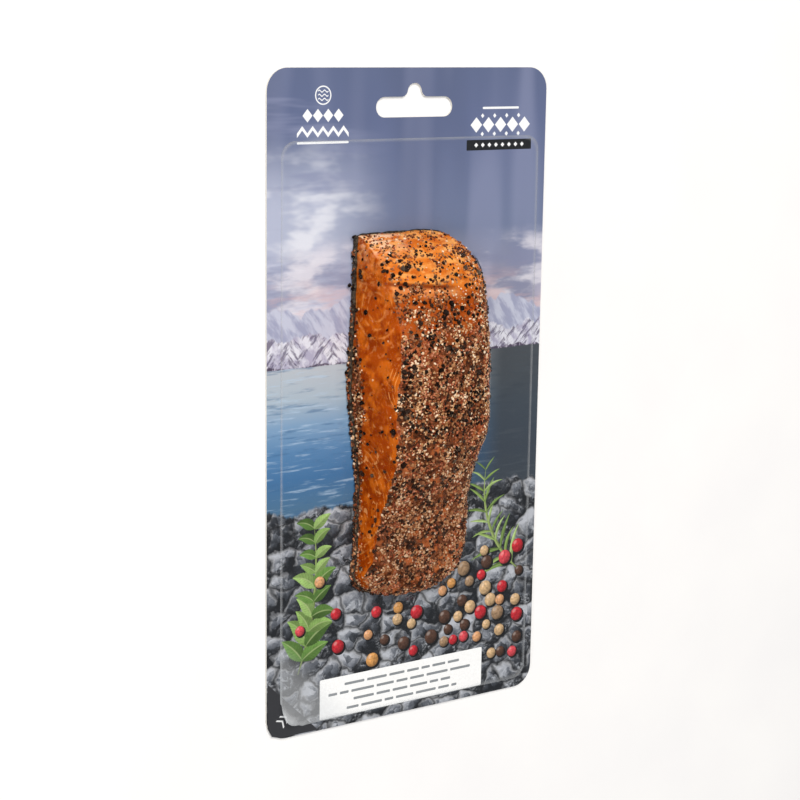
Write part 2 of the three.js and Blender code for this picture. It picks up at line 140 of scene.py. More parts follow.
def smooth_loop(points, count):
    """Evenly spaced points on the closed centripetal curve through the given ones."""
    knots = np.array(points, float)
    steps = np.linspace(0.0, 1.0, 60, endpoint=False)[:, None]
    dense = []
    for k in range(len(knots)):
        p0, p1, p2, p3 = (knots[(k + j - 1) % len(knots)] for j in range(4))
        d0, d1, d2 = (math.sqrt(np.linalg.norm(b - a)) for a, b in ((p0, p1), (p1, p2), (p2, p3)))
        start = ((p1 - p0) / d0 - (p2 - p0) / (d0 + d1) + (p2 - p1) / d1) * d1
        end = ((p2 - p1) / d1 - (p3 - p1) / (d1 + d2) + (p3 - p2) / d2) * d1
        square = -3.0 * p1 + 3.0 * p2 - 2.0 * start - end
        cube = 2.0 * p1 - 2.0 * p2 + start + end
        dense.append(p1 + start * steps + square * steps**2 + cube * steps**3)
    return even_loop(np.concatenate(dense), count)


def even_loop(points, count):
    """Evenly spaced points on the closed line through the given ones."""
    closed = np.vstack([points, points[:1]])
    walked = np.concatenate([[0.0], np.cumsum(np.linalg.norm(np.diff(closed, axis=0), axis=1))])
    at = np.linspace(0.0, walked[-1], count, endpoint=False)
    return np.stack([np.interp(at, walked, closed[:, axis]) for axis in (0, 1)], axis=1)


# ---- Form of the fish ----

OUTLINE_POINTS = 2400
OUTLINE = smooth_loop(UPPER_EDGE + ROUND_SIDE + CUT_SIDE, OUTLINE_POINTS)


def nearest_on(loop, x, y):
    """Index of, and distance to, the loop's point that is nearest to each (x, y)."""
    x = np.atleast_1d(np.asarray(x, float)).ravel()
    y = np.atleast_1d(np.asarray(y, float)).ravel()
    index = np.empty(len(x), int)
    gap = np.empty(len(x))
    for start in range(0, len(x), 2000):
        part = slice(start, start + 2000)
        far = np.hypot(loop[None, :, 0] - x[part, None], loop[None, :, 1] - y[part, None])
        index[part] = far.argmin(axis=1)
        gap[part] = far.min(axis=1)
    return index, gap


ROUND_FIRST = nearest_on(OUTLINE, *UPPER_EDGE[2])[0][0]
ROUND_LAST = nearest_on(OUTLINE, *CUT_SIDE[0])[0][0]
ROUNDED_STRETCH = OUTLINE[ROUND_FIRST:ROUND_LAST + 1]
CUT_STRETCH = OUTLINE[ROUND_LAST:]


def inside_outline(x, y):
    """Which places lie over the fish."""
    inside = np.zeros(len(x), bool)
    for a, b in zip(OUTLINE[::4], np.roll(OUTLINE[::4], -1, axis=0)):
        if a[1] == b[1]:
            continue
        crosses = (a[1] > y) != (b[1] > y)
        inside ^= crosses & (x < a[0] + (y - a[1]) * (b[0] - a[0]) / (b[1] - a[1]))
    return inside


def smooth_top(x, y):
    """Height of the smooth upper surface above the card."""
    across = np.clip((x + HALF_WIDTH) / (2.0 * HALF_WIDTH), 0.0, 1.0)
    dome = lerp(1.0, CROWN_RATIO, smoothstep(across, 0.0, DOME_REACH))
    fall = lerp(1.0, SHOULDER_RATIO / CROWN_RATIO, smoothstep(across, *FALL_SPAN))
    inward = np.clip(nearest_on(ROUNDED_STRETCH, x, y)[1] / SHOULDER_RADIUS, 0.0, 1.0)
    shoulder = lerp(EDGE_RATIO, 1.0, np.sqrt(1.0 - (1.0 - inward) ** 2))
    return read_curve(RIDGE, y) * dome * fall * shoulder


def crease_dip(x, y):
    """Depth of the crease between the bare facet and the crust."""
    along = (x - CREASE_START[0]) / (CREASE_END[0] - CREASE_START[0])
    line = lerp(CREASE_START[1], CREASE_END[1], along)
    fade = smoothstep(along, *CREASE_FADE_IN) * (1.0 - smoothstep(along, *CREASE_FADE_OUT))
    return CREASE_DEPTH * fade * np.exp(-(((y - line) / CREASE_HALF_WIDTH) ** 2))


def crust_wave(x, y):
    """The low swells of the upper surface."""
    turn = 2.0 * math.pi / CRUST_WAVE
    bumps = np.sin(x * turn + 1.4 * np.sin(y * turn * 0.6)) + np.sin(y * turn * 0.9 + x * 0.5)
    return 0.5 * CRUST_RELIEF * bumps


def cut_edge_drop(x, y):
    """How far the soft upper edge of the knife cut rounds down, most at the thick end."""
    rim = SKIN_PROUD + CUT_LEAN * read_curve(RIDGE, y)
    inward = np.clip((nearest_on(CUT_STRETCH, x, y)[1] - rim) / CUT_ROUND, 0.0, 1.0)
    return lerp(CUT_DROP, THICK_END_DROP, smoothstep(y, 30.0, 52.0)) * (1.0 - inward) ** 2


def flesh_top(x, y):
    dips = crease_dip(x, y) + cut_edge_drop(x, y)
    return BOARD + smooth_top(x, y) - dips + crust_wave(x, y)


def film_top(x, y):
    """Height of the film's outer face: over the fish it keeps its clearance, and past the fish
    it comes down at a slope of one, as far as the sealed film round it."""
    inside = inside_outline(x, y)
    index, gap = nearest_on(OUTLINE, x, y)
    near_x = np.where(inside, x, OUTLINE[index, 0])
    near_y = np.where(inside, y, OUTLINE[index, 1])
    past = np.where(inside, 0.0, gap)
    drawn = BOARD + FILM_CLEAR + FILM - FILM_EASE + smooth_top(near_x, near_y) - past
    return np.maximum(drawn, BOARD + 2.0 * FILM)


def flake_wave(y, height):
    """How far the flakes of the muscle stand out of the knife cut."""
    phase = (y + FLAKE_ARCH * (height - FLAKE_MIDDLE) ** 2) / FLAKE_SPACING
    return FLAKE_DEPTH * (np.abs(np.sin(math.pi * phase)) - FLAKE_REST)


# Corners at which the loop round the fish meets the corners of a grid laid over it.
LOOP_CORNERS = [(-24.7, 62.0), (18.5, 59.0), (19.5, -66.0), (-24.8, -65.6)]
RIM_PASSES = 14


def shared_out(loop, corners, counts):
    """Indices of places on a closed loop: from each corner to the next, as many as counts says."""
    marks = [nearest_on(loop, *corner)[0][0] for corner in corners]
    index = []
    for k, count in enumerate(counts):
        span = (marks[(k + 1) % len(marks)] - marks[k]) % len(loop)
        index.extend((marks[k] + span * np.arange(count) / count).round().astype(int))
    return np.array(index) % len(loop)


class Loop:
    """Places round the fish, clockwise from its upper left corner, with outward directions.
    wide of them run along each end and long of them along each side."""

    def __init__(self, wide, long):
        index = shared_out(OUTLINE, LOOP_CORNERS, (wide, long, wide, long))
        ahead = OUTLINE[(index + 3) % len(OUTLINE)] - OUTLINE[index - 3]
        out = np.stack([-ahead[:, 1], ahead[:, 0]], axis=1)
        self.wide = wide
        self.long = long
        self.point = OUTLINE[index]
        self.out = out / np.linalg.norm(out, axis=1)[:, None]
        self.on_cut = smoothstep(-self.out[:, 0], 0.4, 0.9)
        self.ridge = read_curve(RIDGE, self.point[:, 1])

    def wall(self, height, grow, foot=0.0, flaky=False):
        """Points on the walls at heights above the card, grown outwards."""
        bridge = foot * (1.0 - np.clip(height / self.ridge, 0.0, 1.0)) ** 2
        flakes = self.on_cut * flake_wave(self.point[:, 1], height) if flaky else 0.0
        reach = grow + bridge + flakes - lerp(ROUND_LEAN, CUT_LEAN, self.on_cut) * height
        flat = self.point + self.out * reach[:, None]
        return np.column_stack([flat, BOARD + height])

    def rim(self, top, grow, foot=0.0, flaky=False):
        """Heights at which the walls meet an upper surface."""
        height = self.ridge.copy()
        for _ in range(RIM_PASSES):
            at = self.wall(height, grow, foot, flaky)
            height = 0.5 * height + 0.5 * (top(at[:, 0], at[:, 1]) - BOARD)
        return height


def grid_in_loop(bm, rim, wide, long, top):
    """A grid whose border lies on a closed rim, clockwise from its upper left corner, and whose
    points lie on an upper surface. Returns its border edges and the layer that numbers them."""
    place = bm.verts.layers.int.new("place")
    bmesh.ops.create_grid(bm, x_segments=wide, y_segments=long, size=1.0)
    verts = list(bm.verts)
    co = np.array([vert.co[:2] for vert in verts])
    i = np.rint((co[:, 0] + 1.0) / 2.0 * wide).astype(int)
    j = np.rint((co[:, 1] + 1.0) / 2.0 * long).astype(int)
    count = 2 * (wide + long)
    upper = rim[np.arange(wide + 1)]
    right = rim[wide + long - np.arange(long + 1)]
    lower = rim[2 * wide + long - np.arange(wide + 1)]
    left = rim[(2 * wide + long + np.arange(long + 1)) % count]
    s = (i / wide)[:, None]
    t = (j / long)[:, None]
    patch = (1 - t) * lower[i] + t * upper[i] + (1 - s) * left[j] + s * right[j]
    patch -= (1 - s) * (1 - t) * lower[0] + s * (1 - t) * lower[-1]
    patch -= (1 - s) * t * upper[0] + s * t * upper[-1]
    inner = (i > 0) & (i < wide) & (j > 0) & (j < long)
    patch[inner, 2] = top(patch[inner, 0], patch[inner, 1])
    number = np.select(
        [j == long, i == wide, j == 0, i == 0],
        [i, wide + long - j, 2 * wide + long - i, 2 * wide + long + j],
        -1,
    )
    number = np.where(number == count, 0, number)
    for k, vert in enumerate(verts):
        vert.co = patch[k]
        vert[place] = int(number[k])
    return [edge for edge in bm.edges if edge.is_boundary], place


def extrude_ring(bm, edges, place, points):
    """Extrudes a closed ring of edges and puts its new points in their numbered places."""
    made = bmesh.ops.extrude_edge_only(bm, edges=edges)["geom"]
    for item in made:
        if isinstance(item, bmesh.types.BMVert):
            item.co = points[item[place]]
    return [item for item in made if isinstance(item, bmesh.types.BMEdge) and item.is_boundary]


def face_order(face):
    """A number that puts faces in one order, by the points that they join. Extruding leaves them
    in another order each time."""
    corners = [vert.index for vert in face.verts]
    return min(corners) * 1e10 + max(corners) * 1e5 + sum(corners) % 1e5


def soften(bm, verts, factor, passes=1):
    """Draws points towards the middle of their neighbours."""
    for _ in range(passes):
        bmesh.ops.smooth_vert(
            bm, verts=verts, factor=factor, use_axis_x=True, use_axis_y=True, use_axis_z=True,
        )


def piece_from(bm, name, material, smooth=True):
    """Writes a bmesh in millimetres as a finished piece in metres that rides on the pack."""
    bm.verts.index_update()
    bm.faces.sort(key=face_order)
    bmesh.ops.scale(bm, verts=bm.verts, vec=(MM, MM, MM))
    mesh = bpy.data.meshes.new(name)
    bm.to_mesh(mesh)
    bm.free()
    return piece_of(mesh, name, material, smooth)


def piece_of(mesh, name, material, smooth=True):
    mesh.materials.append(material)
    mesh.polygons.foreach_set("use_smooth", [smooth] * len(mesh.polygons))
    piece = bpy.data.objects.new(name, mesh)
    bpy.context.scene.collection.objects.link(piece)
    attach(piece, "root")
    return piece


# ---- Colours and nodes ----


def from_hex(code):
    """An sRGB hex colour turned linear."""
    parts = [int(code[k:k + 2], 16) / 255.0 for k in (1, 3, 5)]
    linear = [c / 12.92 if c <= 0.04045 else ((c + 0.055) / 1.055) ** 2.4 for c in parts]
    return (*linear, 1.0)


SMOOTH = {"interpolation_type": "SMOOTHSTEP"}


class Look:
    """A node material with its coordinates in millimetres."""

    def __init__(self, name):
        self.material = bpy.data.materials.new(name)
        self.material.use_nodes = True
        self.tree = self.material.node_tree
        self.tree.nodes.clear()
        coords = self.add("TexCoord")
        self.mm = self.add(
            "VectorMath", {0: coords.outputs["Object"], "Scale": 1.0 / MM}, operation="SCALE",
        )

    def add(self, kind, inputs=None, stops=(), **settings):
        """Adds one node. inputs holds, for each input, a number, a hex colour, a node or one
        output of a node. stops holds the places and colours of a ramp."""
        node = self.tree.nodes.new("ShaderNode" + kind)
        for key, value in settings.items():
            setattr(node, key, value)
        if stops:
            elements = node.color_ramp.elements
            elements.remove(elements[1])
            elements[0].position = stops[0][0]
            elements[0].color = from_hex(stops[0][1])
            for position, code in stops[1:]:
                elements.new(position).color = from_hex(code)
        for key, value in (inputs or {}).items():
            if isinstance(value, bpy.types.Node):
                value = next(output for output in value.outputs if output.enabled)
            if isinstance(value, bpy.types.NodeSocket):
                self.tree.links.new(value, node.inputs[key])
                continue
            node.inputs[key].default_value = from_hex(value) if isinstance(value, str) else value
        return node

    def patches(self, size, low, high, detail=3.0, roughness=0.55, turn=0.0, at=None):
        """A mask of soft patches, size mm long along each axis and turned in the board's plane,
        which starts where their noise passes low and is full at high. at holds other
        coordinates than the object's own."""
        placed = self.add(
            "Mapping",
            {"Vector": at or self.mm, "Scale": size, "Rotation": (0.0, 0.0, turn)},
            vector_type="TEXTURE",
        )
        cloud = self.add(
            "TexNoise",
            {"Vector": placed, "Scale": 1.0, "Detail": detail, "Roughness": roughness},
        )
        return self.add("MapRange", {"Value": cloud, "From Min": low, "From Max": high}, **SMOOTH)

    def over(self, base, colour, strength, *masks):
        """Lays a coat of colour over a base, as full as all of its masks let it be."""
        coat = strength
        for mask in masks:
            coat = self.add("Math", {0: mask, 1: coat}, operation="MULTIPLY")
        return self.add("Mix", {0: coat, 6: base, 7: colour}, data_type="RGBA")

    def finish(self, surface):
        self.add("OutputMaterial", {"Surface": surface})
        return self.material


def below(look, split, level, sway, size, soft, detail=3.0):
    """A mask of what lies below an uneven line, level mm under the card's upper edge. split
    holds the coordinates one by one."""
    along = look.add("Math", {0: split.outputs["X"], 1: size}, operation="DIVIDE")
    wave = look.add(
        "TexNoise", {"W": along, "Scale": 1.0, "Detail": detail, "Roughness": 0.55},
        noise_dimensions="1D",
    )
    line = look.add("Math", {0: wave, 1: sway, 2: split.outputs["Y"]}, operation="MULTIPLY_ADD")
    edge = CARD_LENGTH / 2 - level + sway / 2
    return look.add(
        "MapRange", {"Value": line, "From Min": edge + soft, "From Max": edge - soft}, **SMOOTH,
    )


# ---- Printed board ----

HORIZON = 104.0  # mm below the card's upper edge
SHINGLE = 156.0  # where the water gives way to stones
SKY = [
    (0.0, "#5f6a8b"), (0.08, "#616c8f"), (0.16, "#687394"), (0.24, "#6d7998"),
    (0.3, "#a0a4bc"), (0.37, "#b8b1c3"), (0.43, "#c9bac2"),
]
WATER = [
    (0.43, "#b9c0c8"), (0.48, "#a9b9c7"), (0.52, "#7c9ec0"), (0.56, "#5682ae"),
    (0.6, "#42709e"), (0.64, "#4a7092"), (0.68, "#4e6a7c"),
]


def printed_board():
    """Solid white board, offset printed with a soft picture of sky, hills, water and stones, and
    varnished: the ink lies flat, the varnish gives a low even gloss, and the bare back and the
    cut edges show matt fibre."""
    look = Look("printed_board")
    mm = look.mm
    split = look.add("SeparateXYZ", {"Vector": mm})
    down = look.add(
        "MapRange",
        {"Value": split.outputs["Y"], "From Min": CARD_LENGTH / 2, "From Max": -CARD_LENGTH / 2},
    )
    leftward = look.add(
        "MapRange", {"Value": split.outputs["X"], "From Min": -6.0, "From Max": -42.0}, **SMOOTH,
    )
    rightward = look.add(
        "MapRange", {"Value": split.outputs["X"], "From Min": 16.0, "From Max": 44.0}, **SMOOTH,
    )

    ink = look.add("ValToRGB", {"Fac": down}, stops=SKY)
    ink = look.over(ink, "#9097b6", 0.45, look.patches((15, 130, 1), 0.44, 0.7, 1.0))
    ink = look.over(ink, "#57617f", 0.4, look.patches((21, 80, 1), 0.48, 0.7, 1.0))
    haze = look.add(
        "Math", {0: leftward, 1: below(look, split, 34.0, 12.0, 30.0, 16.0)}, operation="MULTIPLY",
    )
    ink = look.over(ink, "#c3c9de", 0.72, haze)
    ink = look.over(ink, "#eceef5", 0.68, haze, look.patches((26, 11, 1), 0.48, 0.66))
    ink = look.over(ink, "#878ead", 0.6, leftward, look.patches((60, 8, 1), 0.52, 0.68))
    ink = look.over(
        ink, "#858aa8", 0.7, below(look, split, 66.0, 9.0, 24.0, 5.0, 4.0),
        look.patches((34, 7, 1), 0.42, 0.6, 4.0),
    )
    ink = look.over(
        ink, "#e9e6ee", 0.7, below(look, split, 62.0, 14.0, 26.0, 5.0, 4.0),
        look.patches((26, 9, 1), 0.46, 0.64, 4.0),
    )
    ink = look.over(
        ink, "#d9b5b4", 0.5, below(look, split, 76.0, 8.0, 30.0, 7.0),
        look.patches((24, 5, 1), 0.46, 0.62, 4.0),
    )

    far = look.over("#9fa3be", "#c3c7da", 1.0, look.patches((3, 12, 1), 0.4, 0.6, 5.0, 0.6, 0.6))
    ink = look.over(ink, far, 1.0, below(look, split, 84.0, 44.0, 40.0, 0.5, 4.0))
    snow = look.over("#aeabc3", "#e0e1ec", 1.0, look.patches((4, 9, 1), 0.4, 0.6, 5.0, 0.6, 0.5))
    # Gullies of bare rock lean one way on some flanks and the other way on the rest.
    flank = look.patches((15, 60, 1), 0.48, 0.52)
    left_gully = look.patches((1.5, 8, 1), 0.49, 0.58, 6.0, 0.72, 0.7)
    right_gully = look.patches((1.5, 8, 1), 0.49, 0.58, 6.0, 0.72, -0.7)
    rock = look.add("Mix", {0: flank, 2: left_gully, 3: right_gully}, data_type="FLOAT")
    hill = look.over(snow, "#5f5872", 0.85, rock)
    ink = look.over(ink, hill, 1.0, below(look, split, 93.0, 32.0, 30.0, 0.35, 6.0))
    wood = look.over("#4f475c", "#b9b3c6", 1.0, look.patches((0.8, 2.2, 1), 0.5, 0.62, 5.0, 0.7))
    ink = look.over(ink, wood, 1.0, below(look, split, 103.5, 7.0, 14.0, 0.3, 6.0))

    sea = look.add("ValToRGB", {"Fac": down}, stops=WATER)
    sea = look.over(sea, "#b7cfe6", 0.5, look.patches((13, 1.3, 1), 0.53, 0.68, 4.0))
    sea = look.over(sea, "#3c6690", 0.55, look.patches((15, 1.7, 1), 0.53, 0.68, 4.0))
    sea = look.over(sea, "#3a4047", 0.95, rightward, look.patches((9, 16, 1), 0.14, 0.32, 5.0))
    ink = look.over(ink, sea, 1.0, below(look, split, HORIZON, 1.2, 24.0, 0.25))
    ink = look.over(ink, stone_ink(look), 1.0, below(look, split, SHINGLE, 13.0, 14.0, 0.8, 5.0))

    # Bare board shows wherever the surface doesn't face up.
    geometry = look.add("NewGeometry")
    facing = look.add("SeparateXYZ", {"Vector": geometry.outputs["Normal"]})
    bare = look.add("Math", {0: facing.outputs["Z"], 1: 0.5}, operation="LESS_THAN")
    fibre = look.add("TexNoise", {"Vector": mm, "Scale": 2.4, "Detail": 6.0, "Roughness": 0.7})
    board = look.add("ValToRGB", {"Fac": fibre}, stops=[(0.3, "#d5d1c8"), (0.7, "#ece9e2")])
    ink = look.over(ink, board, 1.0, bare)
    gloss = look.add("MapRange", {"Value": bare, "To Min": 0.42, "To Max": 0.85})
    relief = look.add("Bump", {"Height": fibre, "Strength": 0.12, "Distance": 0.00004})
    surface = look.add(
        "BsdfPrincipled",
        {"Base Color": ink, "Roughness": gloss, "Normal": relief, "Specular IOR Level": 0.3},
    )
    return look.finish(surface)


STONE_WIDTH = 9.0
STONE_HEIGHT = 7.5


def stone_ink(look):
    """Printed frosted stones: each has its own grey, cut into facets, is lighter
    towards its upper left, where its rim catches the light, and sinks into dark gaps."""
    mm = look.mm
    sway = look.add("TexNoise", {"Vector": mm, "Scale": 0.16, "Detail": 4.0})
    swayed = look.add(
        "VectorMath", {0: sway.outputs["Color"], 1: (7.0, 7.0, 0.0), 2: mm},
        operation="MULTIPLY_ADD",
    )
    placed = look.add(
        "Mapping", {"Vector": swayed, "Scale": (1 / STONE_WIDTH, 1 / STONE_HEIGHT, 0.0)},
    )
    cell = look.add("TexVoronoi", {"Vector": placed, "Scale": 1.0}, voronoi_dimensions="2D")
    seam = look.add(
        "TexVoronoi", {"Vector": placed, "Scale": 1.0}, voronoi_dimensions="2D",
        feature="DISTANCE_TO_EDGE",
    )
    facet = look.add("TexVoronoi", {"Vector": placed, "Scale": 3.1}, voronoi_dimensions="2D")
    tone = look.add("SeparateColor", {"Color": cell.outputs["Color"]})
    cut = look.add("SeparateColor", {"Color": facet.outputs["Color"]})
    offset = look.add("VectorMath", {0: placed, 1: cell.outputs["Position"]}, operation="SUBTRACT")
    lit = look.add("VectorMath", {0: offset, 1: (-0.3, 0.45, 0.0)}, operation="DOT_PRODUCT")
    mist = look.add("TexNoise", {"Vector": mm, "Scale": 0.5, "Detail": 6.0, "Roughness": 0.68})
    shade = look.add("Math", {0: tone, 1: 0.35, 2: lit.outputs["Value"]}, operation="MULTIPLY_ADD")
    faceted = look.add("Math", {0: cut, 1: 0.34, 2: shade}, operation="MULTIPLY_ADD")
    grain = look.add("Math", {0: mist, 1: 0.5, 2: faceted}, operation="MULTIPLY_ADD")
    body = look.add(
        "ValToRGB", {"Fac": grain},
        stops=[(0.36, "#1f2227"), (0.54, "#3c4047"), (0.74, "#6b7079"), (1.0, "#b7bbc3")],
    )
    body = look.over(
        body, "#c4c9d1", 0.8, look.patches((8, 7, 1), 0.47, 0.62),
        look.patches((1.6, 1.2, 1), 0.46, 0.66, 6.0, 0.75, at=swayed),
    )
    rim = look.add("MapRange", {"Value": seam, "From Min": 0.16, "From Max": 0.09}, **SMOOTH)
    upper = look.add("MapRange", {"Value": grain, "From Min": 0.5, "From Max": 0.8}, **SMOOTH)
    rimmed = look.over(body, "#d8dbe0", 0.7, rim, upper)
    vein = look.add(
        "TexNoise",
        {"Vector": swayed, "Scale": 0.22, "Detail": 5.0, "Roughness": 0.5, "Gain": 2.0,
         "Offset": 1.0}, noise_type="RIDGED_MULTIFRACTAL", normalize=False,
    )
    crack = look.add("MapRange", {"Value": vein, "From Min": 1.7, "From Max": 2.4}, **SMOOTH)
    rimmed = look.over(rimmed, "#c8ccd2", 0.5, crack)
    gap = look.add("MapRange", {"Value": seam, "From Min": 0.2, "From Max": 0.0}, **SMOOTH)
    return look.over(rimmed, "#202226", 0.85, gap)


# ---- Inks of the printed motifs ----


INK_SHEEN = {"Roughness": 0.42, "Specular IOR Level": 0.3}


def printed_motif():
    """Offset ink on the board under varnish: each motif keeps its own colour, slightly mottled
    by the board, with the board's low gloss."""
    look = Look("offset_ink")
    mm = look.mm
    ink = look.add("Attribute", attribute_name="ink")
    mottle = look.add("TexNoise", {"Vector": mm, "Scale": 1.1, "Detail": 4.0, "Roughness": 0.6})
    spread = look.add("MapRange", {"Value": mottle, "To Min": 0.9, "To Max": 1.1})
    shown = look.add("VectorMath", {0: ink.outputs["Color"], "Scale": spread}, operation="SCALE")
    relief = look.add("Bump", {"Height": mottle, "Strength": 0.1, "Distance": 0.00004})
    surface = look.add("BsdfPrincipled", {"Base Color": shown, "Normal": relief, **INK_SHEEN})
    return look.finish(surface)


def printed_herbs():
    """Ink of the printed leaves: one half of a leaf is lighter, a pale rib runs along it, and
    finer veins slant off the rib."""
    look = Look("herb_ink")
    mm = look.mm
    ink = look.add("Attribute", attribute_name="ink")
    blade = look.add("Attribute", attribute_name="blade")
    split = look.add("SeparateXYZ", {"Vector": blade.outputs["Vector"]})
    across = look.add("Math", {0: split.outputs["Y"]}, operation="ABSOLUTE")
    half = look.add(
        "MapRange",
        {"Value": split.outputs["Y"], "From Min": -0.2, "From Max": 0.3, "To Min": 0.78,
         "To Max": 1.3}, **SMOOTH,
    )
    tip = look.add("MapRange", {"Value": split.outputs["X"], "To Min": 0.8, "To Max": 1.15})
    mottle = look.add("TexNoise", {"Vector": mm, "Scale": 0.5, "Detail": 5.0, "Roughness": 0.65})
    blotch = look.add(
        "MapRange",
        {"Value": mottle, "From Min": 0.3, "From Max": 0.7, "To Min": 0.78, "To Max": 1.2},
    )
    slant = look.add("Math", {0: across, 1: -0.16, 2: split.outputs["X"]}, operation="MULTIPLY_ADD")
    turned_round = look.add("Math", {0: slant, 1: 58.0}, operation="MULTIPLY")
    wave = look.add("Math", {0: turned_round}, operation="SINE")
    vein = look.add("MapRange", {"Value": wave, "From Min": 0.55, "From Max": 1.0}, **SMOOTH)
    rib = look.add("MapRange", {"Value": across, "From Min": 0.16, "From Max": 0.03}, **SMOOTH)
    tone = look.add("Math", {0: half, 1: tip}, operation="MULTIPLY")
    depth = look.add("Math", {0: tone, 1: blotch}, operation="MULTIPLY")
    shown = look.add("VectorMath", {0: ink.outputs["Color"], "Scale": depth}, operation="SCALE")
    shown = look.over(shown, "#3c5527", 0.3, vein)
    shown = look.over(shown, "#b3c48a", 0.5, rib)
    surface = look.add("BsdfPrincipled", {"Base Color": shown, **INK_SHEEN})
    return look.finish(surface)


def printed_corns():
    """Ink of the printed peppercorns: each disc is shaded as a wrinkled ball lit from its upper
    left, with a soft glint."""
    look = Look("peppercorn_ink")
    ink = look.add("Attribute", attribute_name="ink")
    place = look.add("Attribute", attribute_name="ball")
    flat = look.add(
        "VectorMath", {0: place.outputs["Vector"], 1: (1.0, 1.0, 0.0)}, operation="MULTIPLY",
    )
    square = look.add("VectorMath", {0: flat, 1: flat}, operation="DOT_PRODUCT")
    rest = look.add(
        "Math", {0: 1.0, 1: square.outputs["Value"]}, operation="SUBTRACT", use_clamp=True,
    )
    rise = look.add("Math", {0: rest}, operation="SQRT")
    up = look.add("CombineXYZ", {"Z": rise})
    ball = look.add("VectorMath", {0: flat, 1: up}, operation="ADD")
    lit = look.add("VectorMath", {0: ball, 1: (-0.45, 0.52, 0.73)}, operation="DOT_PRODUCT")
    wrinkle = look.add(
        "TexNoise",
        {"Vector": place.outputs["Vector"], "Scale": 2.6, "Detail": 4.0, "Roughness": 0.6},
    )
    tone = look.add(
        "MapRange",
        {"Value": lit.outputs["Value"], "From Min": -0.3, "From Max": 1.0, "To Min": 0.3,
         "To Max": 1.08},
    )
    creased = look.add(
        "MapRange",
        {"Value": wrinkle, "From Min": 0.32, "From Max": 0.68, "To Min": 0.6, "To Max": 1.3},
    )
    depth = look.add("Math", {0: tone, 1: creased}, operation="MULTIPLY")
    shown = look.add("VectorMath", {0: ink.outputs["Color"], "Scale": depth}, operation="SCALE")
    glint = look.add(
        "MapRange", {"Value": lit.outputs["Value"], "From Min": 0.9, "From Max": 1.0}, **SMOOTH,
    )
    shown = look.over(shown, "#f4ece4", 0.22, glint)
    surface = look.add("BsdfPrincipled", {"Base Color": shown, **INK_SHEEN})
    return look.finish(surface)


# ---- Smoked flesh ----

# Figures that the fat draws on the knife cut: the middle (y, z) of their rings, mm between the
# rings, how far from the middle they start and end, and how strong they are.
FAT_FIGURES = [
    ((37.0, 12.5), 3.4, 3.0, 13.5, 0.65), ((11.0, 31.0), 1.7, 6.0, 14.0, 1.0),
    ((2.0, -3.0), 2.4, 6.0, 14.0, 0.6), ((-35.0, -5.0), 2.1, 16.0, 32.0, 0.6),
    ((-46.0, -5.0), 2.0, 7.0, 15.0, 0.4),
]
FADE_START = 30.0  # where along the fish the cut's edge begins to fade, and where it is gone
FADE_END = 46.0
FOOT_SPREAD = 16.0  # how far along the fish the soiled foot of the cut rises and falls


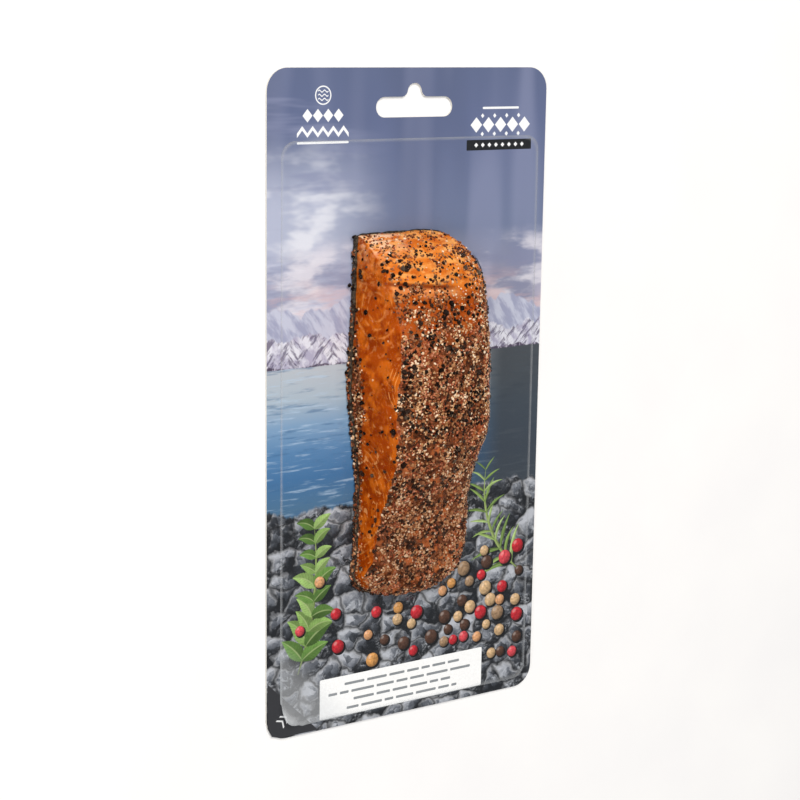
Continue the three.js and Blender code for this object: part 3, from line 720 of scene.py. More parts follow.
def smoked_flesh():
    """Hot-smoked salmon: moist orange muscle with paler fat between the flakes on the knife cut,
    an amber bare facet at the thick end with milky fat by its corner, and a brown smoke-dried
    surface under the pepper."""
    look = Look("hot_smoked_salmon")
    mm = look.mm
    split = look.add("SeparateXYZ", {"Vector": mm})
    geometry = look.add("NewGeometry")
    facing = look.add("SeparateXYZ", {"Vector": geometry.outputs["Normal"]})

    lines = look.patches((1.2, 3.0, 1.4), 0.68, 0.76)
    for middle, spacing, start, end, strength in FAT_FIGURES:
        centred = look.add("VectorMath", {0: mm, 1: (0.0, *middle)}, operation="SUBTRACT")
        flat = look.add(
            "VectorMath", {0: centred, 1: (0.0, 1.0 / spacing, 1.1 / spacing)},
            operation="MULTIPLY",
        )
        # The wave's scale makes its rings lie one unit apart.
        rings = look.add(
            "TexWave",
            {"Vector": flat, "Scale": math.pi / 10.0, "Distortion": 8.5, "Detail": 3.0,
             "Detail Scale": 0.24, "Detail Roughness": 0.5}, wave_type="RINGS",
            rings_direction="SPHERICAL",
        )
        line = look.add(
            "MapRange",
            {"Value": rings.outputs["Fac"], "From Min": 0.66, "From Max": 1.0, "To Max": strength},
            **SMOOTH,
        )
        away = look.add("VectorMath", {0: flat}, operation="LENGTH")
        near = look.add(
            "MapRange",
            {"Value": away.outputs["Value"], "From Min": end / spacing,
             "From Max": 0.8 * end / spacing}, **SMOOTH,
        )
        far = look.add(
            "MapRange",
            {"Value": away.outputs["Value"], "From Min": start / spacing,
             "From Max": start / spacing + 0.5}, **SMOOTH,
        )
        belt = look.add("Math", {0: near, 1: far}, operation="MULTIPLY")
        figure = look.add("Math", {0: line, 1: belt}, operation="MULTIPLY")
        lines = look.add("Math", {0: lines, 1: figure}, operation="MAXIMUM")
    fat = look.add(
        "Math", {0: lines, 1: look.patches((2.6, 2.6, 2.6), 0.42, 0.6)}, operation="MULTIPLY",
    )

    cut = look.over("#b04803", "#923500", 1.0, look.patches((9, 9, 12), 0.38, 0.6))
    cut = look.over(cut, "#d86c14", 0.8, look.patches((4, 6, 5), 0.46, 0.66, 2.0))
    cut = look.over(cut, "#762500", 0.5, look.patches((2.6, 4, 3), 0.54, 0.68, 2.0))
    cut = look.over(cut, "#dd7d28", 0.3, look.patches((1, 1.8, 1.2), 0.54, 0.68, 3.0))
    # Paler patches on the cut, more of them towards the thin end.
    paler_to_thin_end = look.add(
        "MapRange",
        {"Value": split.outputs["Y"], "From Min": 4.0, "From Max": -16.0, "To Min": 0.35,
         "To Max": 1.0}, **SMOOTH,
    )
    cut = look.over(cut, "#e59c5c", 0.75, paler_to_thin_end, look.patches((1.9, 2.2, 1.9), 0.62, 0.7, 1.0, 0.5))
    cut = look.over(cut, "#f0a052", 0.7, fat)

    bare = look.over("#e4802c", "#c95f16", 0.8, look.patches((7, 7, 7), 0.44, 0.6, 4.0))
    bare = look.over(bare, "#f7ae62", 0.85, look.patches((6, 3, 4), 0.44, 0.64, 4.0))
    corner = look.add("VectorMath", {0: mm, 1: (-18.0, 61.0, 4.0)}, operation="DISTANCE")
    milky = look.add(
        "MapRange", {"Value": corner.outputs["Value"], "From Min": 15.0, "From Max": 3.0}, **SMOOTH,
    )
    bare = look.over(bare, "#f6d0ae", 0.9, milky, look.patches((3, 1.2, 1.5), 0.38, 0.6, 5.0))
    smoked = look.add(
        "MapRange", {"Value": split.outputs["Y"], "From Min": 46.0, "From Max": 39.0}, **SMOOTH,
    )
    bare = look.over(bare, "#a3420c", 0.85, smoked)
    slope = (CREASE_START[1] - CREASE_END[1]) / (CREASE_END[0] - CREASE_START[0])
    past = look.add("VectorMath", {0: mm, 1: (slope, 1.0, 0.0)}, operation="DOT_PRODUCT")
    gap = look.add(
        "Math", {0: past.outputs["Value"], 1: CREASE_START[1] + slope * CREASE_START[0]},
        operation="SUBTRACT",
    )
    off = look.add("Math", {0: gap}, operation="ABSOLUTE")
    # fold marks a band along the crease line, which is darkened with painted shadow below.
    fold = look.add("MapRange", {"Value": off, "From Min": 1.3, "From Max": 0.2}, **SMOOTH)
    reach = look.add(
        "MapRange", {"Value": split.outputs["X"], "From Min": 9.0, "From Max": 0.0}, **SMOOTH,
    )
    swell = look.add("MapRange", {"Value": gap, "From Min": -3.4, "From Max": -1.8}, **SMOOTH)
    lifted = look.add("Math", {0: swell, 1: reach}, operation="MULTIPLY")
    below_fold = look.add("Math", {0: gap, 1: 0.0}, operation="LESS_THAN")
    bare = look.over(bare, "#e8945a", 0.6, lifted, below_fold)
    # Painted shadow darkens the crease, fading out towards its right end.
    bare = look.over(bare, "#7c2c06", 0.9, fold, reach)

    brown = look.over("#6f3c22", "#412214", 1.0, look.patches((2.2, 2.2, 2.2), 0.4, 0.6, 5.0))
    brown = look.over(brown, "#b9663a", 0.9, look.patches((4, 4, 4), 0.5, 0.64, 4.0))
    brown = look.over(brown, "#c97140", 0.75, look.patches((11, 11, 11), 0.52, 0.64))
    uneven = look.add("TexNoise", {"Vector": mm, "Scale": 0.14, "Detail": 4.0})
    height = look.add("Math", {0: uneven, 1: 12.0, 2: split.outputs["Y"]}, operation="MULTIPLY_ADD")
    crusted = look.add(
        "MapRange", {"Value": height, "From Min": CRUST_START + 10.0, "From Max": CRUST_START},
        **SMOOTH,
    )
    top = look.over(bare, brown, 1.0, crusted)
    torn = look.add("TexNoise", {"Vector": mm, "Scale": 0.45, "Detail": 4.0})
    # The cut's edge is crisp along the crust, and towards the thick end it grows ragged and
    # fades into the facet.
    ragged, fade_start, fade_end = [
        look.add(
            "MapRange",
            {"Value": split.outputs["Y"], "From Min": FADE_START, "From Max": FADE_END,
             "To Min": first, "To Max": last}, **SMOOTH,
        )
        for first, last in ((0.3, 1.1), (-0.46, 0.12), (-0.64, -0.6))
    ]
    aside = look.add("Math", {0: torn, 1: ragged, 2: facing.outputs["X"]}, operation="MULTIPLY_ADD")
    on_cut = look.add(
        "MapRange", {"Value": aside, "From Min": fade_start, "From Max": fade_end}, **SMOOTH,
    )
    colour = look.over(top, cut, 1.0, on_cut)
    # The soiled foot of the cut is highest where the fish is thickest.
    thick = look.add(
        "Math",
        {0: split.outputs["Y"], 1: 1.0 / FOOT_SPREAD, 2: -FOOT_MIDDLE / FOOT_SPREAD},
        operation="MULTIPLY_ADD",
    )
    bell = look.add("Math", {0: thick, 1: thick}, operation="MULTIPLY")
    foot = look.add("Math", {0: bell, 1: 1.6, 2: split.outputs["Z"]}, operation="MULTIPLY_ADD")
    low = look.add("MapRange", {"Value": foot, "From Min": 8.6, "From Max": 4.6}, **SMOOTH)
    colour = look.over(colour, "#4c3728", 0.85, low, look.patches((2.4, 2.4, 2.4), 0.34, 0.56, 4.0))

    moist = look.add(
        "MapRange",
        {"Value": look.patches((2, 2, 2), 0.3, 0.7, 4.0), "To Min": 0.32, "To Max": 0.58},
    )
    fine = look.add("TexNoise", {"Vector": mm, "Scale": 1.3, "Detail": 6.0, "Roughness": 0.62})
    ridges = look.add("Math", {0: fat, 1: -0.4, 2: fine}, operation="MULTIPLY_ADD")
    relief = look.add("Bump", {"Height": ridges, "Strength": 0.5, "Distance": 0.0004})
    surface = look.add(
        "BsdfPrincipled",
        {"Base Color": colour, "Roughness": moist, "Normal": relief, "Specular IOR Level": 0.03,
         "Subsurface Weight": 0.12, "Subsurface Radius": (1.0, 0.35, 0.12),
         "Subsurface Scale": 0.0016},
    )
    return look.finish(surface)


def fish_skin():
    """Smoked salmon skin: thin, dark and leathery, with scale pockets 2 mm wide."""
    look = Look("smoked_fish_skin")
    mm = look.mm
    scales = look.add("TexVoronoi", {"Vector": mm, "Scale": 0.5, "Randomness": 0.7})
    grime = look.add("TexNoise", {"Vector": mm, "Scale": 0.9, "Detail": 6.0, "Roughness": 0.7})
    tone = look.add(
        "ValToRGB", {"Fac": grime},
        stops=[(0.32, "#17110d"), (0.48, "#332a22"), (0.6, "#574c3d"), (0.74, "#85765f")],
    )
    shade = look.add(
        "MapRange", {"Value": scales.outputs["Distance"], "To Min": 0.75, "To Max": 1.2},
    )
    shown = look.add("VectorMath", {0: tone, "Scale": shade}, operation="SCALE")
    relief = look.add(
        "Bump", {"Height": scales.outputs["Distance"], "Strength": 0.6, "Distance": 0.0003},
    )
    surface = look.add(
        "BsdfPrincipled",
        {"Base Color": shown, "Normal": relief, "Roughness": 0.48, "Specular IOR Level": 0.15},
    )
    return look.finish(surface)


def spice(name, stops, roughness, dust):
    """Crushed pepper: each bit has its own tone, from husk to heart, is matt with a faint oily
    sheen, and towards the thin end is dulled by brown dust, up to the given share."""
    look = Look(name)
    mm = look.mm
    tint = look.add("Attribute", attribute_name="tint")
    speck = look.add("TexNoise", {"Vector": mm, "Scale": 3.2, "Detail": 3.0})
    mixed = look.add("Math", {0: speck, 1: 0.3, 2: tint.outputs["Fac"]}, operation="MULTIPLY_ADD")
    tone = look.add("ValToRGB", {"Fac": mixed}, stops=stops)
    split = look.add("SeparateXYZ", {"Vector": mm})
    thin_end = look.add(
        "MapRange", {"Value": split.outputs["Y"], "From Min": 0.0, "From Max": -40.0}, **SMOOTH,
    )
    tone = look.over(tone, "#946047", dust, thin_end)
    relief = look.add("Bump", {"Height": speck, "Strength": 0.4, "Distance": 0.0001})
    surface = look.add(
        "BsdfPrincipled",
        {"Base Color": tone, "Normal": relief, "Roughness": roughness, "Specular IOR Level": 0.06},
    )
    return look.finish(surface)


def clear_film():
    """Clear laminate drawn tight: see-through, with the gloss of smooth plastic, a painted
    highlight along its sealed rim, and milky on the lifted peel corner."""
    look = Look("clear_laminate")
    mm = look.mm
    haze = look.add("Attribute", attribute_name="haze")
    slack = look.add("TexNoise", {"Vector": mm, "Scale": 0.16, "Detail": 2.0})
    relief = look.add("Bump", {"Height": slack, "Strength": 0.35, "Distance": 0.0006})
    edge = look.add("LayerWeight", {"Blend": 0.5, "Normal": relief})
    glancing = look.add("Math", {0: edge.outputs["Facing"], 1: 4.5}, operation="POWER")
    shine = look.add("Math", {0: glancing, 1: 0.1, 2: 0.001}, operation="MULTIPLY_ADD")
    through = look.add("BsdfTransparent")
    gloss = look.add("BsdfAnisotropic", {"Color": "#ffffff", "Roughness": 0.16, "Normal": relief})
    clear = look.add("MixShader", {0: shine, 1: through, 2: gloss})
    milky = look.add(
        "BsdfPrincipled",
        {"Base Color": "#e4e8ec", "Roughness": 0.3, "Specular IOR Level": 0.5, "Normal": relief},
    )
    # haze mixes in the whitish shader: along the sealed rim it is a painted highlight, on the peel
    # corner it is milkiness.
    seen = look.add("MixShader", {0: haze.outputs["Fac"], 1: clear, 2: milky})
    return look.finish(seen)


# ---- Fish ----

FLESH_WIDE = 84
FLESH_LONG = 216
FLESH_ROWS = 34


def roughen(bm):
    """Small unevenness of real flesh, larger under the pepper than on the knife cut."""
    bm.normal_update()
    for vert in bm.verts:
        x, y, z = vert.co
        if z < BOARD + SKIN + 0.2:
            continue
        on_cut = max(0.0, min(1.0, (-vert.normal.x - 0.5) / 0.4))
        coarse = noise.noise(Vector((x, y, z)) * 0.17)
        fine = noise.noise(Vector((x, y, z)) * 0.6 + Vector((7.0, 3.0, 1.0)))
        move = coarse * (0.35 - 0.15 * on_cut) + fine * (0.2 - 0.1 * on_cut)
        vert.co += vert.normal * move


def make_flesh(material):
    """The portion: a grid over its upper surface, walls drawn down from its border in rings, and
    one face under it."""
    loop = Loop(FLESH_WIDE, FLESH_LONG)
    height = loop.rim(flesh_top, -SKIN_PROUD, flaky=True)
    bm = bmesh.new()
    rim = loop.wall(height, -SKIN_PROUD, flaky=True)
    edges, place = grid_in_loop(bm, rim, FLESH_WIDE, FLESH_LONG, flesh_top)
    for row in range(1, FLESH_ROWS + 1):
        level = lerp(height, SKIN, row / FLESH_ROWS)
        edges = extrude_ring(bm, edges, place, loop.wall(level, -SKIN_PROUD, flaky=True))
    bmesh.ops.contextual_create(bm, geom=edges)
    bmesh.ops.recalc_face_normals(bm, faces=bm.faces)
    soften(bm, [v for v in bm.verts if v.co.z > BOARD + SKIN + 0.3], 0.4)
    # The cut's upper edge is worn softer towards the thick end's tip.
    for past, passes in ((28.0, 14), (42.0, 24)):
        soft_edge = [v for v in bm.verts if v.co.y > past and v.co.x < -4.0 and v.co.z > 5.0]
        soften(bm, soft_edge, 0.5, passes)
    roughen(bm)
    flesh = piece_from(bm, "smoked_flesh", material)
    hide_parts("salmon_flesh")
    return flesh


SKIN_WIDE = 90
SKIN_LONG = 230


def make_skin(material):
    """The skin: a thin slab with a soft uneven edge that curls up a little by the knife cut."""
    loop = Loop(SKIN_WIDE, SKIN_LONG)
    uneven = np.array([noise.noise(Vector((*point, 0.0)) * 0.45) for point in loop.point])
    at_end = smoothstep(loop.out[:, 1], 0.5, 0.9)
    bm = bmesh.new()
    place = bm.verts.layers.int.new("place")
    made = bmesh.ops.create_circle(bm, segments=len(loop.point), radius=1.0)["verts"]
    edges = list(bm.edges)
    start = [(vert, k) for k, vert in enumerate(made)]
    profile = [
        (-6.0, 0.06), (-0.3, 0.06), (0.0, 0.35), (0.05, 0.8), (-0.25, 1.25), (-0.9, 1.35),
        (-2.2, 1.0), (-6.0, 0.98),
    ]
    rings = []
    for inward, height in profile:
        lift = 1.0 + 0.35 * loop.on_cut * (height > 1.0)
        reach = inward + (0.35 * uneven - 0.75 * at_end) * (inward > -1.0)
        flat = loop.point + loop.out * reach[:, None]
        rings.append(np.column_stack([flat, BOARD + height * lift]))
    for vert, k in start:
        vert.co = rings[0][k]
        vert[place] = k
    for ring in rings[1:]:
        edges = extrude_ring(bm, edges, place, ring)
    for hole in ([e for e in bm.edges if e.is_boundary and e.verts[0].co.z < BOARD + 0.5],
                 [e for e in bm.edges if e.is_boundary and e.verts[0].co.z > BOARD + 0.5]):
        bmesh.ops.contextual_create(bm, geom=hole)
    bmesh.ops.recalc_face_normals(bm, faces=bm.faces)
    skin = piece_from(bm, "fish_skin", material)
    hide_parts("salmon_skin")
    return skin


# ---- Pepper ----

# Where the largest bits of black pepper lie: x, y, z and radius.
LARGE_BITS = [
    (-22.2, 59.3, 9.0, 0.75), (-20.2, 54.1, 15.6, 0.8), (-22.0, 50.5, 16.0, 0.85),
    (-19.4, 49.6, 19.0, 0.8), (-15.6, 53.5, 16.2, 0.7), (-15.4, 51.3, 18.6, 1.0),
    (-14.5, 51.0, 18.9, 1.1), (-12.8, 51.6, 18.2, 0.9), (-16.8, 56.4, 13.2, 0.6),
    (-8.1, 57.8, 11.7, 0.6), (-6.9, 56.5, 13.4, 0.6), (-7.6, 55.1, 15.0, 0.65),
    (-24.0, 49.1, 4.5, 0.9), (-23.8, 47.4, 4.7, 0.9), (-16.0, 46.0, 20.6, 0.8),
    (-18.2, 45.3, 21.4, 0.9), (-20.2, 43.5, 22.2, 0.9), (-12.8, 48.5, 20.6, 0.7),
    (1.4, 38.6, 24.1, 1.15), (-1.6, 35.5, 25.2, 1.5), (6.2, 36.5, 23.8, 1.05),
    (9.0, 34.5, 23.8, 0.9), (-10.0, 39.6, 24.3, 0.8), (-7.4, 38.5, 24.8, 0.8),
    (-3.4, 34.1, 26.1, 0.9), (3.3, 31.9, 25.9, 0.9), (4.5, 30.4, 26.0, 0.8),
    (11.7, 33.3, 23.3, 0.8), (14.6, 27.4, 23.4, 0.7), (-13.0, 32.9, 25.8, 0.9),
    (-6.0, 16.1, 28.7, 1.2), (13.6, 13.2, 24.2, 1.1), (-20.2, 16.5, 27.7, 1.1),
    (-11.9, 16.0, 28.3, 0.9), (-17.0, 18.2, 28.0, 1.2), (-3.0, 22.9, 28.3, 0.9),
    (-20.8, -5.9, 22.6, 1.25), (-15.7, -3.3, 25.8, 0.95), (-20.5, -10.5, 24.4, 0.95),
    (-17.3, -17.9, 22.8, 1.4), (-21.9, -24.6, 4.4, 0.8), (-20.0, -16.7, 21.6, 0.7),
    (-11.2, -57.4, 10.6, 1.0), (-8.9, -58.7, 10.3, 1.0), (-20.0, -59.0, 10.1, 0.8),
    (13.2, 53.6, 13.9, 1.05), (12.2, 49.7, 17.2, 1.1), (18.6, 47.8, 16.5, 1.0),
    (6.7, 48.0, 19.5, 1.0), (19.4, 51.1, 14.0, 0.82), (12.0, 44.0, 20.2, 0.8),
    (-0.1, 43.5, 21.8, 0.6), (-5.9, 47.1, 21.4, 0.6), (-3.3, 47.9, 20.8, 0.7),
    (-23.7, 27.0, 10.5, 0.8), (-23.7, 35.3, 8.1, 0.9), (-21.9, 30.4, 19.1, 0.5),
]
# Bits that hang on the skin's edge.
EDGE_BITS = [(-25.3, 61.2, 2.0, 0.7), (-26.6, 44.2, 1.9, 0.75), (-25.5, 52.0, 2.0, 0.55)]


def surface_of(piece):
    """The corners of a piece's triangles in millimetres."""
    mesh = piece.data
    mesh.calc_loop_triangles()
    co = np.empty(len(mesh.vertices) * 3)
    mesh.vertices.foreach_get("co", co)
    co = co.reshape(-1, 3) / MM
    corners = np.empty(len(mesh.loop_triangles) * 3, int)
    mesh.loop_triangles.foreach_get("vertices", corners)
    return co[corners.reshape(-1, 3)]


def surface_samples(piece, count, seed, density):
    """Places on a piece, more of them where density says, with the way each one faces."""
    a, b, c = surface_of(piece).transpose(1, 0, 2)
    cross = np.cross(b - a, c - a)
    area = np.linalg.norm(cross, axis=1)
    facing = cross / np.maximum(area, 1e-9)[:, None]
    weight = area * density((a + b + c) / 3.0, facing)
    chance = np.random.default_rng(seed)
    picked = chance.choice(len(weight), size=count, p=weight / weight.sum())
    first = chance.random(count)
    second = chance.random(count)
    outside = first + second > 1.0
    first = np.where(outside, 1.0 - first, first)[:, None]
    second = np.where(outside, 1.0 - second, second)[:, None]
    spot = a[picked] + (b - a)[picked] * first + (c - a)[picked] * second
    return spot, facing[picked]


def nearest_spots(piece, places):
    """The places on a piece nearest to the given ones, with the way each one faces."""
    corners = surface_of(piece)
    middles = corners.mean(axis=1)
    near = [np.linalg.norm(middles - place, axis=1).argmin() for place in places]
    a, b, c = corners[near].transpose(1, 0, 2)
    cross = np.cross(b - a, c - a)
    return middles[near], cross / np.linalg.norm(cross, axis=1)[:, None]


def bit_shapes(seed, rough):
    """Six broken bits of unit size, each a ball of twenty faces with its points moved."""
    chance = np.random.default_rng(seed)
    shapes = []
    for _ in range(6):
        bm = bmesh.new()
        bmesh.ops.create_icosphere(bm, subdivisions=1, radius=1.0)
        points = np.array([vert.co for vert in bm.verts])
        faces = np.array([[vert.index for vert in face.verts] for face in bm.faces])
        bm.free()
        points *= 1.0 + rough * (chance.random((len(points), 1)) - 0.5)
        shapes.append((points, faces))
    return shapes


def turned(facing, chance):
    """Matrices that lay bits flat on what they lie on, each turned its own way."""
    count = len(facing)
    up = facing + 0.35 * (chance.random((count, 3)) - 0.5)
    up /= np.linalg.norm(up, axis=1)[:, None]
    aside = chance.normal(size=(count, 3))
    aside -= up * (aside * up).sum(axis=1)[:, None]
    aside /= np.linalg.norm(aside, axis=1)[:, None]
    return np.stack([aside, np.cross(up, aside), up], axis=2)


def make_bits(name, spot, facing, radius, shape, seed, material):
    """One piece of many bits. shape is how long and how thick a bit is for its width."""
    chance = np.random.default_rng(seed)
    count = len(spot)
    frames = turned(facing, chance)
    longer, thicker = shape
    sizes = np.stack([
        radius * lerp(1.0, longer, chance.random(count) ** 2),
        radius,
        radius * lerp(thicker, 1.0, chance.random(count)),
    ], axis=1)
    centre = spot + facing * (sizes[:, 2] * BIT_PROUD)[:, None]
    kinds = chance.integers(0, 6, count)
    shapes = bit_shapes(seed + 1, BIT_ROUGHNESS)
    tone = chance.random(count)
    points = np.stack([shapes[k][0] for k in kinds])
    points = np.einsum("nij,npj->npi", frames, points * sizes[:, None, :]) + centre[:, None, :]
    wide = points.shape[1]
    faces = np.stack([shapes[k][1] for k in kinds]) + (np.arange(count) * wide)[:, None, None]
    mesh = bpy.data.meshes.new(name)
    mesh.from_pydata((points * MM).reshape(-1, 3), [], faces.reshape(-1, 3).tolist())
    tint = mesh.attributes.new("tint", "FLOAT", "POINT")
    tint.data.foreach_set("value", np.repeat(tone * 0.85, wide))
    mesh.validate()
    return piece_of(mesh, name, material, smooth=False)


def lobed(spot, scale, seed):
    """A soft uneven field from 0 to 1 over places in millimetres."""
    shift = Vector((seed * 3.1, seed * 1.7, seed * 0.9))
    return np.array([0.5 + 0.5 * noise.noise(Vector(p) * scale + shift) for p in spot])


def crust_density(spot, facing, bare, strewn):
    """How thick the pepper lies: dense on the upper side below the crease, thin on the bare
    facet, which takes the share bare of it, and thinner yet on the knife cut, which takes the
    share strewn, but for its soiled foot."""
    x, y, z = spot.T
    torn = lobed(spot, 0.35, 7) - 0.5
    upward = smoothstep(facing[:, 2], 0.1, 0.55)
    on_cut = smoothstep(-facing[:, 0] + 0.35 * torn, 0.5, 0.72)
    crusted = 1.0 - smoothstep(y + 18.0 * torn, CRUST_START - 1.0, CRUST_START + 9.0)
    right = smoothstep(x, 8.0, 20.0)
    band = smoothstep(y, 48.0, 36.0)
    thick = smoothstep(lobed(spot, 0.28, 11), 0.72, 0.64)
    crust = lerp(1.0, 0.12 + 0.88 * thick, smoothstep(-y, 0.0, 20.0))
    beside_cut = smoothstep(-x, 7.0, 13.0)
    top = lerp(bare * (1.0 + 1.6 * right + 1.6 * band + 0.45 * beside_cut), crust, crusted)
    foot = 3.0 + 5.5 * np.exp(-(((y - FOOT_MIDDLE) / 15.0) ** 2))
    low_cut = smoothstep(BOARD + SKIN + foot - z, 0.0, 2.6) * (1.0 - smoothstep(y, 12.0, 44.0))
    end_cut = 1.0 - smoothstep(y, -66.0, -56.0)
    side = strewn + 0.62 * low_cut + 0.3 * end_cut
    around = lerp(0.6, 1.0, upward) * (1.0 - on_cut) * top + side * on_cut
    return around * (z > BOARD + SKIN + 0.5)


def skin_density(spot, facing):
    """Pepper on the outer edge of the skin beside the knife cut, more of it lower down."""
    outer = smoothstep(-facing[:, 0], 0.2, 0.6) * (spot[:, 2] > BOARD + 0.3)
    return outer * lerp(1.0, 0.25, smoothstep(spot[:, 1], 10.0, 40.0))


def make_pepper(flesh, skin):
    """Every kind of bit, each kind one piece."""
    black = spice(
        "black_pepper",
        [(0.0, "#0b0604"), (0.5, "#1a100b"), (0.85, "#35261e"), (1.0, "#57493d")], 0.4, 0.07,
    )
    husk = spice(
        "pepper_husk",
        [(0.0, "#27140d"), (0.35, "#4d2919"), (0.7, "#7f4a2e"), (1.0, "#ab7850")], 0.55, 0.2,
    )
    heart = spice(
        "pepper_heart",
        [(0.0, "#825232"), (0.35, "#b98456"), (0.7, "#e0b486"), (1.0, "#fce6c8")], 0.5, 0.4,
    )
    russet = spice(
        "russet_spice",
        [(0.0, "#5a2214"), (0.45, "#98492c"), (0.8, "#c47852"), (1.0, "#cf8d70")], 0.5, 0.15,
    )

    def drifted(scale, seed, low, high, bare, strewn):
        def density(spot, facing):
            drift = 0.12 + smoothstep(lobed(spot, scale, seed), low, high)
            return crust_density(spot, facing, bare, strewn) * drift
        return density

    # Name, material, count on the flesh, count on the skin, seed, drifts, radii, shape.
    plans = [
        ("pepper_husk", husk, 7600, 190, 21,
         drifted(0.16, 1, 0.38, 0.62, 0.22, 0.006), (0.24, 0.58), (1.8, 0.5)),
        ("pepper_heart", heart, 6000, 70, 22,
         drifted(0.2, 2, 0.34, 0.62, 0.12, 0.003), (0.24, 0.52), (1.4, 0.7)),
        ("black_pepper", black, 2500, 150, 23,
         drifted(0.16, 3, 0.44, 0.6, 0.12, 0.055), (0.24, 0.78), (1.4, 0.6)),
        ("russet_spice", russet, 4600, 50, 24,
         drifted(0.14, 4, 0.42, 0.62, 0.14, 0.003), (0.22, 0.5), (1.4, 0.6)),
    ]
    for name, material, on_flesh, on_skin, seed, density, (least, most), shape in plans:
        spot, facing = surface_samples(flesh, on_flesh, seed, density)
        skin_spot, skin_facing = surface_samples(skin, on_skin, seed + 9, skin_density)
        spot = np.vstack([spot, skin_spot])
        facing = np.vstack([facing, skin_facing])
        chance = np.random.default_rng(seed + 50)
        radius = lerp(least, most, chance.random(len(spot)) ** 1.8)
        make_bits(name, spot, facing, radius, shape, seed, material)

    large = np.array(LARGE_BITS)
    edge = np.array(EDGE_BITS)
    spot, facing = nearest_spots(flesh, large[:, :3])
    spot = np.vstack([spot, edge[:, :3]])
    facing = np.vstack([facing, np.tile((-1.0, 0.0, 0.0), (len(edge), 1))])
    radius = np.concatenate([large[:, 3], edge[:, 3]])
    make_bits("coarse_pepper", spot, facing, radius, (1.3, 0.6), 25, black)


# ---- Film ----

FILM_WIDE = 56
FILM_LONG = 140
FILM_ROWS = 18
FLANGE_ROWS = 26
FILM_SHEET = 0.2  # thickness of the film that is seen
BORDER_POINTS = 4000


def film_border(loop):
    """The film's own outline, point for point with the loop round the fish."""
    border = []
    arcs = [
        (FILM_LEFT + FILM_CORNER, FILM_TOP - FILM_CORNER, 135, 90),
        (FILM_RIGHT - FILM_CORNER, FILM_TOP - FILM_CORNER, 90, 0),
        (FILM_RIGHT - FILM_CORNER, FILM_BOTTOM + FILM_CORNER, 0, -90),
        (FILM_LEFT + FILM_CORNER, FILM_BOTTOM + FILM_CORNER, -90, -180),
        (FILM_LEFT + FILM_CORNER, FILM_TOP - FILM_CORNER, 180, 135),
    ]
    for x, y, start, end in arcs:
        for angle in np.radians(np.linspace(start, end, 24)):
            border.append((x + FILM_CORNER * math.cos(angle), y + FILM_CORNER * math.sin(angle)))
    outline = even_loop(np.array(border), BORDER_POINTS)
    corners = [(FILM_LEFT, FILM_TOP), (FILM_RIGHT, FILM_TOP), (FILM_RIGHT, FILM_BOTTOM),
               (FILM_LEFT, FILM_BOTTOM)]
    return outline[shared_out(outline, corners, (loop.wide, loop.long, loop.wide, loop.long))]


def peel_rise(x, y):
    """How far the film stands up beyond the fold line of its peel corner."""
    inside = (x + CARD_WIDTH / 2) + (y + CARD_LENGTH / 2)
    run = np.maximum((PEEL_LEG - inside) / math.sqrt(2.0), 0.0)
    return PEEL_LIFT * (run / PEEL_RUN) ** 2


def make_film(material):
    """The film: a grid over the fish, walls down to the board, and the flat sealed part that
    runs out to its own border."""
    loop = Loop(FILM_WIDE, FILM_LONG)
    grow = FILM_CLEAR + FILM
    height = loop.rim(film_top, grow, FILM_FOOT)
    bm = bmesh.new()
    edges, place = grid_in_loop(
        bm, loop.wall(height, grow, FILM_FOOT), FILM_WIDE, FILM_LONG, film_top,
    )
    for row in range(1, FILM_ROWS + 1):
        share = 1.0 - (1.0 - row / FILM_ROWS) ** 1.3
        edges = extrude_ring(
            bm, edges, place, loop.wall(lerp(height, FILM, share), grow, FILM_FOOT),
        )
    foot = loop.wall(np.full(len(loop.point), FILM), grow, FILM_FOOT)[:, :2]
    border = film_border(loop)
    for row in range(1, FLANGE_ROWS + 1):
        flat = lerp(foot, border, (row / FLANGE_ROWS) ** 1.15)
        rise = BOARD + FILM + peel_rise(flat[:, 0], flat[:, 1])
        edges = extrude_ring(bm, edges, place, np.column_stack([flat, rise]))
    soften(bm, [v for v in bm.verts if v.co.z > BOARD + FILM + 0.6], 0.5, 3)
    co = np.array([v.co for v in bm.verts])
    edge_gap = nearest_on(even_loop(border, 2000), co[:, 0], co[:, 1])[1]
    peeled = smoothstep(peel_rise(co[:, 0], co[:, 1]), 0.05, 1.2)
    inside = co[:, 0] + co[:, 1] + (CARD_WIDTH + CARD_LENGTH) / 2
    flap = smoothstep(inside, PEEL_LEG + 24.0, PEEL_LEG + 8.0) * (co[:, 2] < BOARD + FILM + 4.0)
    # The narrow band along the border is a painted highlight; the peel corner and the flap by it
    # are milky.
    haze = 0.18 * np.exp(-((edge_gap / 0.35) ** 2)) + 0.3 * peeled + 0.16 * flap
    layer = bm.verts.layers.float.new("haze")
    for vert, amount in zip(bm.verts, haze):
        vert[layer] = float(min(amount, 1.0))
    film = piece_from(bm, "clear_film", material)
    wall = film.modifiers.new("thickness", "SOLIDIFY")
    wall.thickness = FILM_SHEET * MM
    wall.offset = -1.0
    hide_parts("film")
    return film


# ---- Printed motifs ----

INK_THICK = 0.004
FINE_INK_THICK = 0.002
LEVEL_STEP = 0.006  # between an ornament and the one that is printed on it
LEAF_STEP = 0.001  # between one leaf and the next
GRAPHIC_LOW = BOARD + 0.004
CORN_LOW = BOARD + 0.03
CORN_STEP = 0.008  # between a peppercorn's shadow and the peppercorn
LEAF_STEPS = 26


